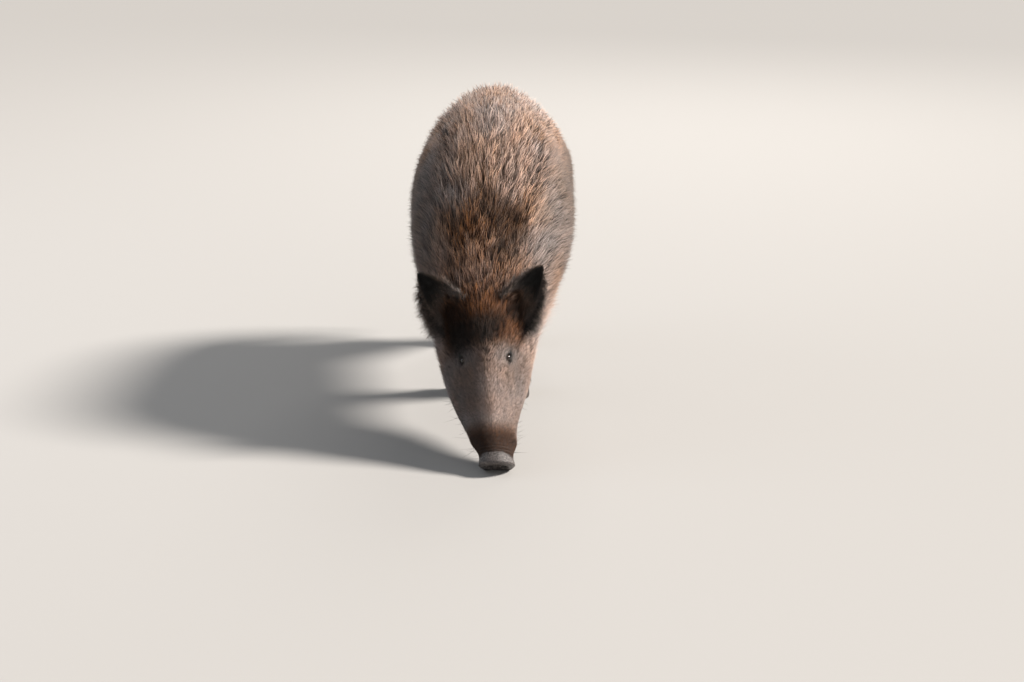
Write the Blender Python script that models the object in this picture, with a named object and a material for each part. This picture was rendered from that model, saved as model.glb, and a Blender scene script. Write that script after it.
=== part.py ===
# Wild boar, an adult sow at life size, standing with her head lowered and her snout on the ground.
# Metres, +Z up. She faces -Y and her left side is +X. The origin is on the ground, under the
# middle of her length. Each outline is drawn to the tips of the coat.
# Flesh is one closed body, unioned from lofts and then parted by thin cuts into named pieces.

import math

import bmesh
import bpy
import numpy as np
from mathutils import Vector

# Driving sizes.
MIDDLE = 0.646              # from the snout's front edge back to the origin
HEAD_PITCH = math.radians(55)   # how steeply the head's top line falls to the ground
HEAD_TILT = math.radians(3.5)   # the head leans this far to the animal's right
LEAN_PIVOT = 0.17           # height about which it leans
LEAN_FADE = (0.56, 0.30)    # behind the snout where the lean has gone, and over what length
GROUND_FADE = 0.15          # below this height the lean doesn't lift or lower a point
HEAD_ASIDE = 0.013          # above the snout, the head stands this far to her right
ASIDE_RISE = (0.02, 0.09)   # height where that starts, and over what height it grows
ASIDE_FADE = (0.50, 0.25)   # behind the snout where it has gone, and over what length
RUMP_ASIDE = 0.012          # the hindquarters stand this far to her left
RUMP_RISE = 0.36            # and over what height it grows, from nothing at the hind feet
RUMP_FADE = (0.70, 0.45)    # behind the snout where that starts, and over what length
SNOUT_TOP = 0.0355          # height of the snout disc's upper edge
FLOOR_BELOW = -0.05         # how far the leg cutters reach below the ground
GAP = 0.0003                # between neighbouring pieces
CUT_GAP = 0.0004            # between a piece and one that is seated in it
VOXEL = 0.008               # grid of the union
BODY_TRIANGLES = 3410       # of the flesh before it is parted
RING_POINTS = 40            # round the trunk and head
LEG_POINTS = 20             # round a leg
LEFT, RIGHT = 1, -1

# Head rows, in the head's own lines: distance from the snout disc up the top line, then the
# depth of the upper and lower outline under that line, half width, where the widest point lies
# (0 top, 1 bottom), and how full the upper and lower halves are (2 is an ellipse).
HEAD_ROWS = (
    (0.000, 0.002, 0.073, 0.037, 0.50, 2.2, 2.2),
    (0.005, 0.000, 0.075, 0.042, 0.50, 2.2, 2.2),
    (0.014, 0.000, 0.077, 0.043, 0.50, 2.2, 2.2),
    (0.026, 0.003, 0.078, 0.041, 0.52, 2.2, 2.2),
    (0.060, 0.003, 0.088, 0.051, 0.60, 2.0, 2.2),
    (0.110, 0.004, 0.104, 0.066, 0.67, 1.8, 2.2),
    (0.160, 0.003, 0.123, 0.084, 0.70, 1.65, 2.2),
    (0.210, 0.000, 0.148, 0.100, 0.70, 1.6, 2.2),
    (0.260, -0.006, 0.176, 0.113, 0.70, 1.55, 2.2),
    (0.310, -0.014, 0.202, 0.123, 0.68, 1.65, 2.2),
    (0.360, -0.022, 0.220, 0.134, 0.66, 1.75, 2.2),
    (0.410, -0.030, 0.226, 0.153, 0.65, 1.8, 2.2),
)
# Neck and trunk rows: upper outline (distance behind the snout, height), lower outline, half
# width, widest point, fullness above and below.
TRUNK_ROWS = (
    (0.295, 0.510, 0.438, 0.264, 0.177, 0.67, 1.75, 2.2),
    (0.367, 0.622, 0.460, 0.284, 0.186, 0.66, 1.7, 2.3),
    (0.458, 0.718, 0.494, 0.294, 0.202, 0.64, 1.65, 2.4),
    (0.565, 0.777, 0.570, 0.308, 0.211, 0.60, 1.65, 2.3),
    (0.690, 0.788, 0.690, 0.322, 0.212, 0.58, 1.65, 2.4),
    (0.830, 0.774, 0.830, 0.336, 0.213, 0.57, 1.65, 2.4),
    (0.970, 0.759, 0.965, 0.352, 0.211, 0.56, 1.6, 2.3),
    (1.080, 0.738, 1.072, 0.388, 0.208, 0.57, 1.55, 2.2),
    (1.160, 0.696, 1.148, 0.425, 0.190, 0.56, 1.55, 2.2),
    (1.218, 0.640, 1.205, 0.468, 0.156, 0.53, 1.7, 2.0),
    (1.252, 0.586, 1.243, 0.512, 0.098, 0.50, 2.0, 2.0),
    (1.260, 0.562, 1.257, 0.538, 0.040, 0.50, 2.0, 2.0),
)
# Leg rows: distance out from the middle, behind the snout, and height of the centre, then half
# depth (front to back) and half width.
FORE_ROWS = (
    (0.118, 0.585, 0.600, 0.100, 0.072),
    (0.126, 0.598, 0.500, 0.110, 0.078),
    (0.120, 0.618, 0.420, 0.098, 0.072),
    (0.106, 0.640, 0.355, 0.072, 0.060),
    (0.092, 0.650, 0.300, 0.053, 0.049),
    (0.081, 0.651, 0.235, 0.040, 0.037),
    (0.076, 0.646, 0.198, 0.038, 0.035),
    (0.073, 0.652, 0.150, 0.030, 0.028),
    (0.071, 0.660, 0.100, 0.029, 0.027),
    (0.070, 0.666, 0.074, 0.034, 0.031),
    (0.069, 0.656, 0.048, 0.031, 0.030),
    (0.069, 0.648, 0.034, 0.024, 0.027),
)
HIND_ROWS = (
    (0.112, 1.060, 0.620, 0.120, 0.070),
    (0.130, 1.082, 0.540, 0.148, 0.076),
    (0.134, 1.086, 0.465, 0.138, 0.073),
    (0.126, 1.084, 0.400, 0.108, 0.063),
    (0.110, 1.104, 0.335, 0.073, 0.050),
    (0.097, 1.136, 0.275, 0.051, 0.040),
    (0.091, 1.154, 0.236, 0.043, 0.035),
    (0.087, 1.148, 0.190, 0.034, 0.030),
    (0.084, 1.134, 0.120, 0.029, 0.027),
    (0.083, 1.128, 0.084, 0.034, 0.031),
    (0.082, 1.112, 0.052, 0.031, 0.030),
    (0.082, 1.102, 0.036, 0.024, 0.027),
)
KNEE_HEIGHT = 0.235
HOCK_HEIGHT = 0.275
# Solids round the legs: front and rear (behind the snout), then the inner and outer point of
# the sloping top, each (out from the middle, height).
FORE_HULL = (0.505, 0.765, (0.012, 0.326), (0.30, 0.500))
HIND_HULL = (0.930, 1.330, (0.012, 0.360), (0.30, 0.670))

# Cuts through the head and neck.
DISC_DEPTH = 0.013
MUZZLE_LENGTH = 0.200
POLL_ALONG = 0.425
POLL_SWING = math.radians(14)
CHEST_CUT = (0.495, 0.52)   # a point of the cut, behind the snout and up
CHEST_NORMAL = (0, 0.995, -0.10)
JAW_FRONT = 0.022
JAW_BACK = 0.175
MOUTH_UNDER = (0.061, 0.088)    # the mouth line under the top line, at the front and the corner
JAW_DEEP = 0.30
JAW_HALF_WIDTH = 0.20

EYE_RADIUS = 0.0122
EYE_ALONG = 0.268           # from the snout up the head's top line
EYE_BELOW = 0.034           # below that line
EYE_OUT = 0.0485            # from the middle plane to the eyeball's centre
ORBIT_RADIUS = 0.0165
ORBIT_OUT = 0.017
EYE_LOOK = (0.80, -0.52, 0.30)  # the way an eye looks: out, back, up
EAR_LENGTH = 0.118
EAR_WIDTH = 0.104
EAR_SKEW = 0.046            # the tip lies this far towards the upper edge
EAR_ROOT = (0.385, 0.022, 0.083)    # along, under, out
EAR_POINTS = (0.80, 0.12, 0.59)     # out, back, up
EAR_OPENS = (0.30, -0.95, 0.05)
TAIL_ROOT = (1.190, 0.640)  # behind the snout, up
TAIL_LENGTH = 0.300
TAIL_BACK = 0.082           # how far it swings out behind its root

FORE_HOOF = (0.069, 0.634)      # out from the middle, behind the snout
HIND_HOOF = (0.082, 1.086)
CLAW_LENGTH = 0.066
CLAW_WIDTH = 0.026
CLAW_HEIGHT = 0.046
CLAW_GAP = 0.002
DEWCLAW_LOW = 0.018
DEWCLAW_HEIGHT = 0.036
DEWCLAW_BACK = 0.058
DEWCLAW_ASIDE = 0.019       # each side of the foot's middle
DEWCLAW_LEAN = 0.020        # its top stands this far ahead of its tip
CLAW_SET_BACK = 0.012       # a claw's top behind its sole


def side_name(side):
    return "left" if side == LEFT else "right"


# Frame of the head.
ALONG = np.array([math.cos(HEAD_PITCH), math.sin(HEAD_PITCH)])     # (back, up), snout to poll
UNDER = np.array([math.sin(HEAD_PITCH), -math.cos(HEAD_PITCH)])    # (back, up), top line to jaw


def head_point(along, under, out=0.0):
    """A point of the head's own lines as (x, back, up)."""
    back, up = np.array([0.0, SNOUT_TOP]) + along * ALONG + under * UNDER
    return np.array([out, back, up])


def eased(value):
    """0 to 1 with level ends."""
    value = np.clip(value, 0, 1)
    return value * value * (3 - 2 * value)


def posed(points):
    """Takes (x, back, up) of the straight animal to world axes in her stance: the head leans to
    her right about the snout, fading out along the neck, and the rump stands aside."""
    points = np.atleast_2d(np.asarray(points, float)).copy()
    x, back, up = points.T.copy()
    angle = HEAD_TILT * eased((LEAN_FADE[0] - back) / LEAN_FADE[1])
    aside = eased((up - ASIDE_RISE[0]) / ASIDE_RISE[1]) * eased((ASIDE_FADE[0] - back) / ASIDE_FADE[1])
    points[:, 0] = x * np.cos(angle) - (up - LEAN_PIVOT) * np.sin(angle)
    points[:, 0] += RUMP_ASIDE * eased((back - RUMP_FADE[0]) / RUMP_FADE[1]) * eased(up / RUMP_RISE)
    points[:, 0] -= HEAD_ASIDE * aside
    points[:, 2] = up * np.cos(angle) + x * np.sin(angle) * eased(up / GROUND_FADE)
    points[:, 1] -= MIDDLE
    return points


def world(along, under, out=0.0):
    return Vector(posed(head_point(along, under, out))[0])


# Meshes.
def new_object(name, mesh):
    piece = bpy.data.objects.new(name, mesh)
    bpy.context.scene.collection.objects.link(piece)
    return piece


def mesh_from(name, points, faces):
    mesh = bpy.data.meshes.new(name)
    mesh.from_pydata([tuple(p) for p in points], [], faces)
    mesh.update()
    return mesh


def smooth_rows(rows, count):
    """Rows read along one smooth curve through them, at even steps of the middle line."""
    rows = np.array(rows, float)
    middle = rows[:, :3] if rows.shape[1] == 5 else (rows[:, 0:2] + rows[:, 2:4]) / 2
    steps = np.linalg.norm(np.diff(middle, axis=0), axis=1)
    at = np.concatenate([[0.0], np.cumsum(steps)])
    slope = np.gradient(rows, at, axis=0)
    want = np.linspace(0, at[-1], count)
    i = np.clip(np.searchsorted(at, want) - 1, 0, len(at) - 2)
    span = (at[i + 1] - at[i])[:, None]
    t = ((want - at[i])[:, None]) / span
    return (
        (2 * t**3 - 3 * t**2 + 1) * rows[i]
        + (t**3 - 2 * t**2 + t) * span * slope[i]
        + (3 * t**2 - 2 * t**3) * rows[i + 1]
        + (t**3 - t**2) * span * slope[i + 1]
    )


def power(value, exponent):
    return np.sign(value) * np.abs(value) ** exponent


def trunk_ring(row):
    """One closed section: two half superellipses that meet at the widest point."""
    top, bottom = row[0:2], row[2:4]
    half, widest, upper, lower = row[4:8]
    turn = np.linspace(0, 2 * np.pi, RING_POINTS, endpoint=False)
    full = np.where(np.cos(turn) >= 0, upper, lower)
    x = half * power(np.sin(turn), 2 / full)
    rise = np.abs(np.cos(turn)) ** (2 / full)
    down = np.where(np.cos(turn) >= 0, widest * (1 - rise), widest + (1 - widest) * rise)
    side = top + down[:, None] * (bottom - top)
    return np.column_stack([x, side])


def leg_ring(row, side):
    """A level ellipse round the leg's centre."""
    out, back, up, depth, width = row
    turn = np.linspace(0, 2 * np.pi, LEG_POINTS, endpoint=False)
    x = side * out + width * np.sin(turn)
    return np.column_stack([x, back + depth * np.cos(turn), np.full(LEG_POINTS, up)])


def loft(name, rings):
    """A closed tube through the rings, with a fan at each end."""
    rings = [np.asarray(ring) for ring in rings]
    count = len(rings[0])
    points = np.concatenate(rings + [rings[0].mean(0)[None], rings[-1].mean(0)[None]])
    faces = []
    for i in range(len(rings) - 1):
        for j in range(count):
            k = (j + 1) % count
            faces.append((i * count + j, i * count + k, (i + 1) * count + k, (i + 1) * count + j))
    first, last = len(points) - 2, len(points) - 1
    base = (len(rings) - 1) * count
    for j in range(count):
        k = (j + 1) % count
        faces.append((first, k, j))
        faces.append((last, base + j, base + k))
    mesh = mesh_from(name, points, faces)
    outward(mesh)
    return mesh


def outward(mesh):
    work = bmesh.new()
    work.from_mesh(mesh)
    bmesh.ops.recalc_face_normals(work, faces=work.faces)
    if work.calc_volume(signed=True) < 0:
        bmesh.ops.reverse_faces(work, faces=work.faces)
    work.to_mesh(mesh)
    work.free()


def settled(piece):
    """The object's evaluated mesh as plain mesh data, with every modifier taken in."""
    graph = bpy.context.evaluated_depsgraph_get()
    mesh = bpy.data.meshes.new_from_object(piece.evaluated_get(graph))
    piece.modifiers.clear()
    piece.data = mesh
    return mesh


def boolean(piece, cutter, operation):
    """Combines piece with the cutter's mesh at once, and removes the cutter."""
    bpy.context.view_layer.update()
    change = piece.modifiers.new("cut", "BOOLEAN")
    change.operation = operation
    change.solver = "EXACT"
    change.object = cutter
    settled(piece)
    bpy.data.objects.remove(cutter)


def halved(mesh, point, normal):
    """Cuts away all in front of the plane and closes the cut."""
    work = bmesh.new()
    work.from_mesh(mesh)
    everything = work.verts[:] + work.edges[:] + work.faces[:]
    cut = bmesh.ops.bisect_plane(
        work, geom=everything, plane_co=point, plane_no=normal, clear_outer=True, dist=1e-6
    )
    edges = [e for e in cut["geom_cut"] if isinstance(e, bmesh.types.BMEdge)]
    caps = bmesh.ops.contextual_create(work, geom=edges)["faces"]
    bmesh.ops.triangulate(work, faces=caps)
    work.to_mesh(mesh)
    work.free()


def swollen(mesh, amount, name="cutter"):
    """A copy of a mesh grown along its corner normals."""
    copy = mesh.copy()
    points = np.empty(len(copy.vertices) * 3)
    normals = np.empty(len(copy.vertices) * 3)
    copy.vertices.foreach_get("co", points)
    copy.vertex_normals.foreach_get("vector", normals)
    copy.vertices.foreach_set("co", points + amount * normals)
    copy.update()
    return new_object(name, copy)


# Materials.
def linear(hex_colour):
    parts = [int(hex_colour[i : i + 2], 16) / 255 for i in (1, 3, 5)]
    return [c / 12.92 if c <= 0.04045 else ((c + 0.055) / 1.055) ** 2.4 for c in parts] + [1.0]


def finish(piece, hex_colour, roughness, metallic=0.0):
    """Gives the piece a material of its own."""
    made = bpy.data.materials.new(piece.name)
    made.use_nodes = True
    shader = made.node_tree.nodes["Principled BSDF"]
    shader.inputs["Base Color"].default_value = linear(hex_colour)
    shader.inputs["Roughness"].default_value = roughness
    shader.inputs["Metallic"].default_value = metallic
    piece.data.materials.clear()
    piece.data.materials.append(made)


# Flesh.
def body_mesh():
    """Head, neck, trunk and legs as one closed body."""
    head = []
    for along, upper, lower, *rest in HEAD_ROWS:
        top = head_point(along, upper)[1:]
        bottom = head_point(along, lower)[1:]
        head.append((*top, *bottom, *rest))
    rows = smooth_rows(head + list(TRUNK_ROWS), 96)
    lofts = [loft("trunk_loft", [posed(trunk_ring(row)) for row in rows])]
    for side in (LEFT, RIGHT):
        for rows in (FORE_ROWS, HIND_ROWS):
            rings = [posed(leg_ring(row, side)) for row in smooth_rows(rows, 30)]
            lofts.append(loft("leg_loft", rings))
    joined = bmesh.new()
    for mesh in lofts:
        joined.from_mesh(mesh)
    whole = bpy.data.meshes.new("flesh")
    joined.to_mesh(whole)
    joined.free()
    flesh = new_object("flesh", whole)
    remesh = flesh.modifiers.new("union", "REMESH")
    remesh.mode = "VOXEL"
    remesh.voxel_size = VOXEL
    soften = flesh.modifiers.new("soften", "SMOOTH")
    soften.factor = 0.5
    soften.iterations = 4
    mesh = settled(flesh)
    lighten = flesh.modifiers.new("lighten", "DECIMATE")
    lighten.ratio = BODY_TRIANGLES / (2 * len(mesh.polygons))
    mesh = settled(flesh)
    bpy.data.objects.remove(flesh)
    outward(mesh)
    return mesh


def part_of(body, name, planes=(), keep=None, take_away=()):
    """The stretch of the body behind each (point, normal) plane, within the solid keep."""
    piece = new_object(name, body.copy())
    if keep:
        boolean(piece, keep, "INTERSECT")
    for point, normal in planes:
        halved(piece.data, point, normal)
    for cutter in take_away:
        boolean(piece, cutter, "DIFFERENCE")
    return piece


def apart(point, normal):
    """The two facing planes of one thin cut: first for what lies behind it, then for what lies
    in front."""
    point, normal = Vector(point), Vector(normal).normalized()
    behind = (point - normal * GAP / 2, normal)
    front = (point + normal * GAP / 2, -normal)
    return behind, front


def head_plane(along, under, swing=0.0):
    """A cut across the head; swing turns its foot towards the snout."""
    angle = HEAD_PITCH - swing
    return world(along, under), (0.0, math.cos(angle), math.sin(angle))


def leg_hull(side, front, rear, inner, outer, grow=0.0):
    """A solid round one leg: its top slopes up from the inner point to the outer one, each
    (out from the middle, height)."""
    work = bmesh.new()
    for back in (front - grow, rear + grow):
        for out, up in (
            (inner[0] - grow, FLOOR_BELOW),
            (outer[0], FLOOR_BELOW),
            (inner[0] - grow, inner[1] + grow),
            (outer[0], outer[1] + grow),
        ):
            work.verts.new((side * out, back - MIDDLE, up))
    bmesh.ops.convex_hull(work, input=work.verts)
    mesh = bpy.data.meshes.new("hull")
    work.to_mesh(mesh)
    work.free()
    outward(mesh)
    return new_object("hull", mesh)


def jaw_solid(grow=0.0):
    """The space of the lower jaw, from in front of the snout back to the corner of the mouth."""
    work = bmesh.new()
    for out in (-JAW_HALF_WIDTH, JAW_HALF_WIDTH):
        for along, under in (
            (JAW_FRONT - grow, MOUTH_UNDER[0] - grow),
            (JAW_BACK + grow, MOUTH_UNDER[1] - grow),
            (JAW_FRONT - grow, JAW_DEEP),
            (JAW_BACK + grow, JAW_DEEP),
        ):
            back, up = head_point(along, under)[1:]
            work.verts.new((out, back - MIDDLE, up))
    bmesh.ops.convex_hull(work, input=work.verts)
    mesh = bpy.data.meshes.new("jaw")
    work.to_mesh(mesh)
    work.free()
    outward(mesh)
    return new_object("jaw", mesh)


def make_head_pieces(body):
    disc_behind, disc_front = apart(*head_plane(DISC_DEPTH, 0.0))
    face_behind, face_front = apart(*head_plane(MUZZLE_LENGTH, 0.0))
    poll_behind, poll_front = apart(*head_plane(POLL_ALONG, 0.1, POLL_SWING))
    ground = ((0, 0, 0), (0, 0, -1))
    disc = part_of(body, "nose_disc", [disc_behind, ground])
    muzzle = part_of(body, "muzzle", [disc_front, face_behind, ground], None, [jaw_solid(GAP)])
    jaw = part_of(body, "lower_jaw", [disc_front, poll_behind], jaw_solid())
    head = part_of(body, "head", [face_front, poll_behind], None, [jaw_solid(GAP)])
    for side in (LEFT, RIGHT):
        place = world(EYE_ALONG, EYE_BELOW, side * EYE_OUT)
        look = Vector((side * EYE_LOOK[0], EYE_LOOK[1], EYE_LOOK[2])).normalized()
        boolean(head, ball(place + look * ORBIT_OUT, ORBIT_RADIUS), "DIFFERENCE")
        boolean(head, ball(place, EYE_RADIUS + CUT_GAP), "DIFFERENCE")
        eye = ball(place, EYE_RADIUS)
        eye.name = f"eye_{side_name(side)}"
        finish(eye, "#1d130e", 0.08)
    finish(disc, "#5f544e", 0.55)
    finish(muzzle, "#5a4336", 0.85)
    finish(jaw, "#4a3c34", 0.9)
    finish(head, "#7d6453", 0.9)
    return poll_front


def ball(centre, radius):
    work = bmesh.new()
    bmesh.ops.create_uvsphere(work, u_segments=12, v_segments=8, radius=radius)
    bmesh.ops.translate(work, verts=work.verts, vec=centre)
    mesh = bpy.data.meshes.new("ball")
    work.to_mesh(mesh)
    work.free()
    outward(mesh)
    return new_object("ball", mesh)


def ear_ring(share):
    """One section of the ear in its own lines (across, along, towards the opening): a thin
    crescent whose horns are the two edges."""
    half = EAR_WIDTH / 2 * (1 - 0.12 * share) * (1 - max(share, 0) ** 2.2) ** 0.85 + 0.003
    bend = math.radians(78 - 30 * share)
    radius = half / math.sin(bend)
    thick = 0.011 - 0.005 * share
    middle = -EAR_SKEW * max(share, 0) ** 1.2
    outer = np.linspace(-bend, bend, 7)
    inner = outer[::-1] * (1 - 0.5 * thick / half)
    across = np.concatenate([radius * np.sin(outer), (radius - thick) * np.sin(inner)])
    deep = np.concatenate([radius * np.cos(outer), (radius - thick) * np.cos(inner)])
    deep = radius * math.cos(bend) - deep
    return np.column_stack([middle + across, np.full(len(across), share * EAR_LENGTH), deep])


def make_ear(body, side):
    """The cupped ear, set on the side of the poll."""
    root = head_point(*EAR_ROOT[:2], EAR_ROOT[2])
    along = np.array(EAR_POINTS) / np.linalg.norm(EAR_POINTS)
    opens = np.array(EAR_OPENS) - np.dot(EAR_OPENS, along) * along
    opens /= np.linalg.norm(opens)
    across = np.cross(along, opens)
    axes = np.array([across, along, opens])
    rings = []
    for share in np.linspace(-0.22, 1, 9):
        ring = ear_ring(share) @ axes + root
        rings.append(posed(ring * (side, 1, 1)))
    ear = new_object(f"ear_{side_name(side)}", loft("ear", rings))
    boolean(ear, swollen(body, CUT_GAP), "DIFFERENCE")
    finish(ear, "#2a211d", 0.9)


def make_tail(body):
    """A thin tail that hangs behind the rump, and its tuft of long hair."""
    share = np.linspace(0, 1, 13)
    back = TAIL_ROOT[0] + TAIL_BACK * np.sin(np.minimum(share / 0.36, 1) * math.pi / 2)
    up = TAIL_ROOT[1] - TAIL_LENGTH * share
    thick = np.interp(share, (0, 0.3, 0.62, 0.8, 0.93, 1), (0.026, 0.016, 0.012, 0.018, 0.015, 0.004))
    turn = np.linspace(0, 2 * math.pi, 8, endpoint=False)
    rings = []
    for b, u, r in zip(back, up, thick):
        rings.append(posed(np.column_stack([r * np.sin(turn), b + r * np.cos(turn), np.full(8, u)])))
    whole = loft("tail", rings)
    split = apart((0, 0, TAIL_ROOT[1] - 0.66 * TAIL_LENGTH), (0, 0, 1))
    tuft = part_of(whole, "tail_tuft", [split[0]])
    tail = part_of(whole, "tail", [split[1]])
    boolean(tail, swollen(body, CUT_GAP), "DIFFERENCE")
    finish(tail, "#6b5a4e", 0.9)
    finish(tuft, "#2e2521", 0.9)


def claw_loft(out, back, half_length, half_width, height, top_shift):
    """One hoof half: level rings from a flat sole up to the coronet, shifting back."""
    turn = np.linspace(0, 2 * math.pi, 10, endpoint=False)
    rings = []
    for share, long_share, wide_share in ((0, 1, 1), (0.12, 1.02, 1.03), (0.6, 0.86, 0.95), (1, 0.60, 0.8)):
        x = out + half_width * wide_share * power(np.sin(turn), 0.8)
        y = back + top_shift * share + half_length * long_share * power(np.cos(turn), 0.9)
        rings.append(np.column_stack([x, y - MIDDLE, np.full(10, height * share)]))
    return loft("claw", rings)


def dewclaw_loft(out, back):
    """A small hoof behind the pastern, hanging clear of the ground."""
    turn = np.linspace(0, 2 * math.pi, 7, endpoint=False)
    rings = []
    for share, radius in ((0, 0.006), (0.25, 0.0095), (0.7, 0.0105), (1, 0.009)):
        up = DEWCLAW_LOW + DEWCLAW_HEIGHT * share
        y = back - DEWCLAW_LEAN * share + radius * 1.1 * np.cos(turn)
        rings.append(np.column_stack([out + radius * np.sin(turn), y - MIDDLE, np.full(7, up)]))
    return loft("dewclaw", rings)


def make_leg(body, side, name, hull, foot, joint_height):
    """Upper and lower leg, two main claws and two dewclaws."""
    whole = part_of(body, f"{name}_whole", (), leg_hull(side, *hull))
    split = apart((0, 0, joint_height), (0, 0, 1))
    lower = part_of(whole.data, f"lower_{name}_{side_name(side)}", [split[0]])
    upper = part_of(whole.data, f"upper_{name}_{side_name(side)}", [split[1]])
    bpy.data.objects.remove(whole)
    out, back = foot
    for place, inward in (("inner", -1), ("outer", 1)):
        middle = side * (out + inward * (CLAW_WIDTH / 2 + CLAW_GAP / 2))
        mesh = claw_loft(middle, back, CLAW_LENGTH / 2, CLAW_WIDTH / 2, CLAW_HEIGHT, CLAW_SET_BACK)
        claw = new_object(f"claw_{name}_{side_name(side)}_{place}", mesh)
        boolean(lower, swollen(mesh, CUT_GAP), "DIFFERENCE")
        finish(claw, "#2b2522", 0.5)
        small = dewclaw_loft(side * (out + inward * DEWCLAW_ASIDE), back + DEWCLAW_BACK)
        dewclaw = new_object(f"dewclaw_{name}_{side_name(side)}_{place}", small)
        boolean(lower, swollen(small, CUT_GAP), "DIFFERENCE")
        finish(dewclaw, "#2b2522", 0.5)
    finish(upper, "#6a564a", 0.9)
    finish(lower, "#2f2622", 0.9)


def main():
    for piece in list(bpy.data.objects):
        bpy.data.objects.remove(piece)
    body = body_mesh()
    poll_front = make_head_pieces(body)
    chest_behind, chest_front = apart((0, CHEST_CUT[0] - MIDDLE, CHEST_CUT[1]), CHEST_NORMAL)
    neck = part_of(body, "neck", [poll_front, chest_behind], None, [jaw_solid(GAP)])
    finish(neck, "#6f5647", 0.92)
    hulls = []
    for side in (LEFT, RIGHT):
        hulls += [leg_hull(side, *FORE_HULL, GAP), leg_hull(side, *HIND_HULL, GAP)]
    trunk = part_of(body, "trunk", [chest_front], None, hulls)
    finish(trunk, "#8a7263", 0.92)
    for side in (LEFT, RIGHT):
        make_leg(body, side, "foreleg", FORE_HULL, FORE_HOOF, KNEE_HEIGHT)
        make_leg(body, side, "hindleg", HIND_HULL, HIND_HOOF, HOCK_HEIGHT)
        make_ear(body, side)
    make_tail(body)
    for piece in bpy.data.objects:
        piece.data.shade_smooth()
        piece.data.set_sharp_from_angle(angle=math.radians(40))


main()
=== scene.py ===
import math

import bpy
import numpy as np
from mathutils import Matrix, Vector
from mathutils.bvhtree import BVHTree
from mathutils.kdtree import KDTree


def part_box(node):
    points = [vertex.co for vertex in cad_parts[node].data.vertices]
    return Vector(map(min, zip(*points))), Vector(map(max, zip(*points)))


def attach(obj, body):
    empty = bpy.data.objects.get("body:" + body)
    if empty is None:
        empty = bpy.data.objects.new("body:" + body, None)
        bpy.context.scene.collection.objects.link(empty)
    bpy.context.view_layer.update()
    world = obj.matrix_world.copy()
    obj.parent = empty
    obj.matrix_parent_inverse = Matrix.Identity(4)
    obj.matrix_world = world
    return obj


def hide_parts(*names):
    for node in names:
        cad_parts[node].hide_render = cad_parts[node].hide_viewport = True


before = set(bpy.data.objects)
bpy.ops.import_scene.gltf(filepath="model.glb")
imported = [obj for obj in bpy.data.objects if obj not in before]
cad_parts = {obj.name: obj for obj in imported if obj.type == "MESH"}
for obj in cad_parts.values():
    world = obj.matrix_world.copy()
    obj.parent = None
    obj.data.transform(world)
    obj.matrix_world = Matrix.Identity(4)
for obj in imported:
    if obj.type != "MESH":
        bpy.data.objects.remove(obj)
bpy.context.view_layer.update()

chance = np.random.default_rng(41)      # every random draw comes from here, in order
leftSide, rightSide = 1, -1

# ---- the animal's measures, in metres ----
# Points of the straight animal are (x, back, up): back is counted from the snout's front edge.

stance = {
    "middle": 0.646,                    # from the snout's front edge back to the origin
    "headPitch": math.radians(55),      # how steeply the head's top line falls
    "headTilt": math.radians(3.5),      # the head leans to the animal's right
    "leanPivot": 0.17,
    "headAside": 0.013,
    "rumpAside": 0.012,
    "rumpRise": 0.36,                   # the height over which that grows: the feet stay planted
    "snoutTop": 0.0355,
}

# along the head's top line, upper and lower outline under it, half width, widest point,
# fullness above and below
headRows = (
    (0.000, 0.002, 0.073, 0.037, 0.50, 2.2, 2.2),
    (0.005, 0.000, 0.075, 0.042, 0.50, 2.2, 2.2),
    (0.014, 0.000, 0.077, 0.043, 0.50, 2.2, 2.2),
    (0.026, 0.003, 0.078, 0.041, 0.52, 2.2, 2.2),
    (0.060, 0.003, 0.088, 0.051, 0.60, 2.0, 2.2),
    (0.110, 0.004, 0.104, 0.066, 0.67, 1.8, 2.2),
    (0.160, 0.003, 0.123, 0.084, 0.70, 1.65, 2.2),
    (0.210, 0.000, 0.148, 0.100, 0.70, 1.6, 2.2),
    (0.260, -0.006, 0.176, 0.113, 0.70, 1.55, 2.2),
    (0.310, -0.014, 0.202, 0.123, 0.68, 1.65, 2.2),
    (0.360, -0.022, 0.220, 0.134, 0.66, 1.75, 2.2),
    (0.410, -0.030, 0.226, 0.153, 0.65, 1.8, 2.2),
)
# upper outline (back, up), lower outline, half width, widest point, fullness above and below
trunkRows = (
    (0.295, 0.510, 0.438, 0.264, 0.177, 0.67, 1.75, 2.2),
    (0.367, 0.622, 0.460, 0.284, 0.186, 0.66, 1.7, 2.3),
    (0.458, 0.718, 0.494, 0.294, 0.202, 0.64, 1.65, 2.4),
    (0.565, 0.777, 0.570, 0.308, 0.211, 0.60, 1.65, 2.3),
    (0.690, 0.788, 0.690, 0.322, 0.212, 0.58, 1.65, 2.4),
    (0.830, 0.774, 0.830, 0.336, 0.213, 0.57, 1.65, 2.4),
    (0.970, 0.759, 0.965, 0.352, 0.211, 0.56, 1.6, 2.3),
    (1.080, 0.738, 1.072, 0.388, 0.208, 0.57, 1.55, 2.2),
    (1.160, 0.696, 1.148, 0.425, 0.190, 0.56, 1.55, 2.2),
    (1.218, 0.640, 1.205, 0.468, 0.156, 0.53, 1.7, 2.0),
    (1.252, 0.586, 1.243, 0.512, 0.098, 0.50, 2.0, 2.0),
    (1.260, 0.562, 1.257, 0.538, 0.040, 0.50, 2.0, 2.0),
)
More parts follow.
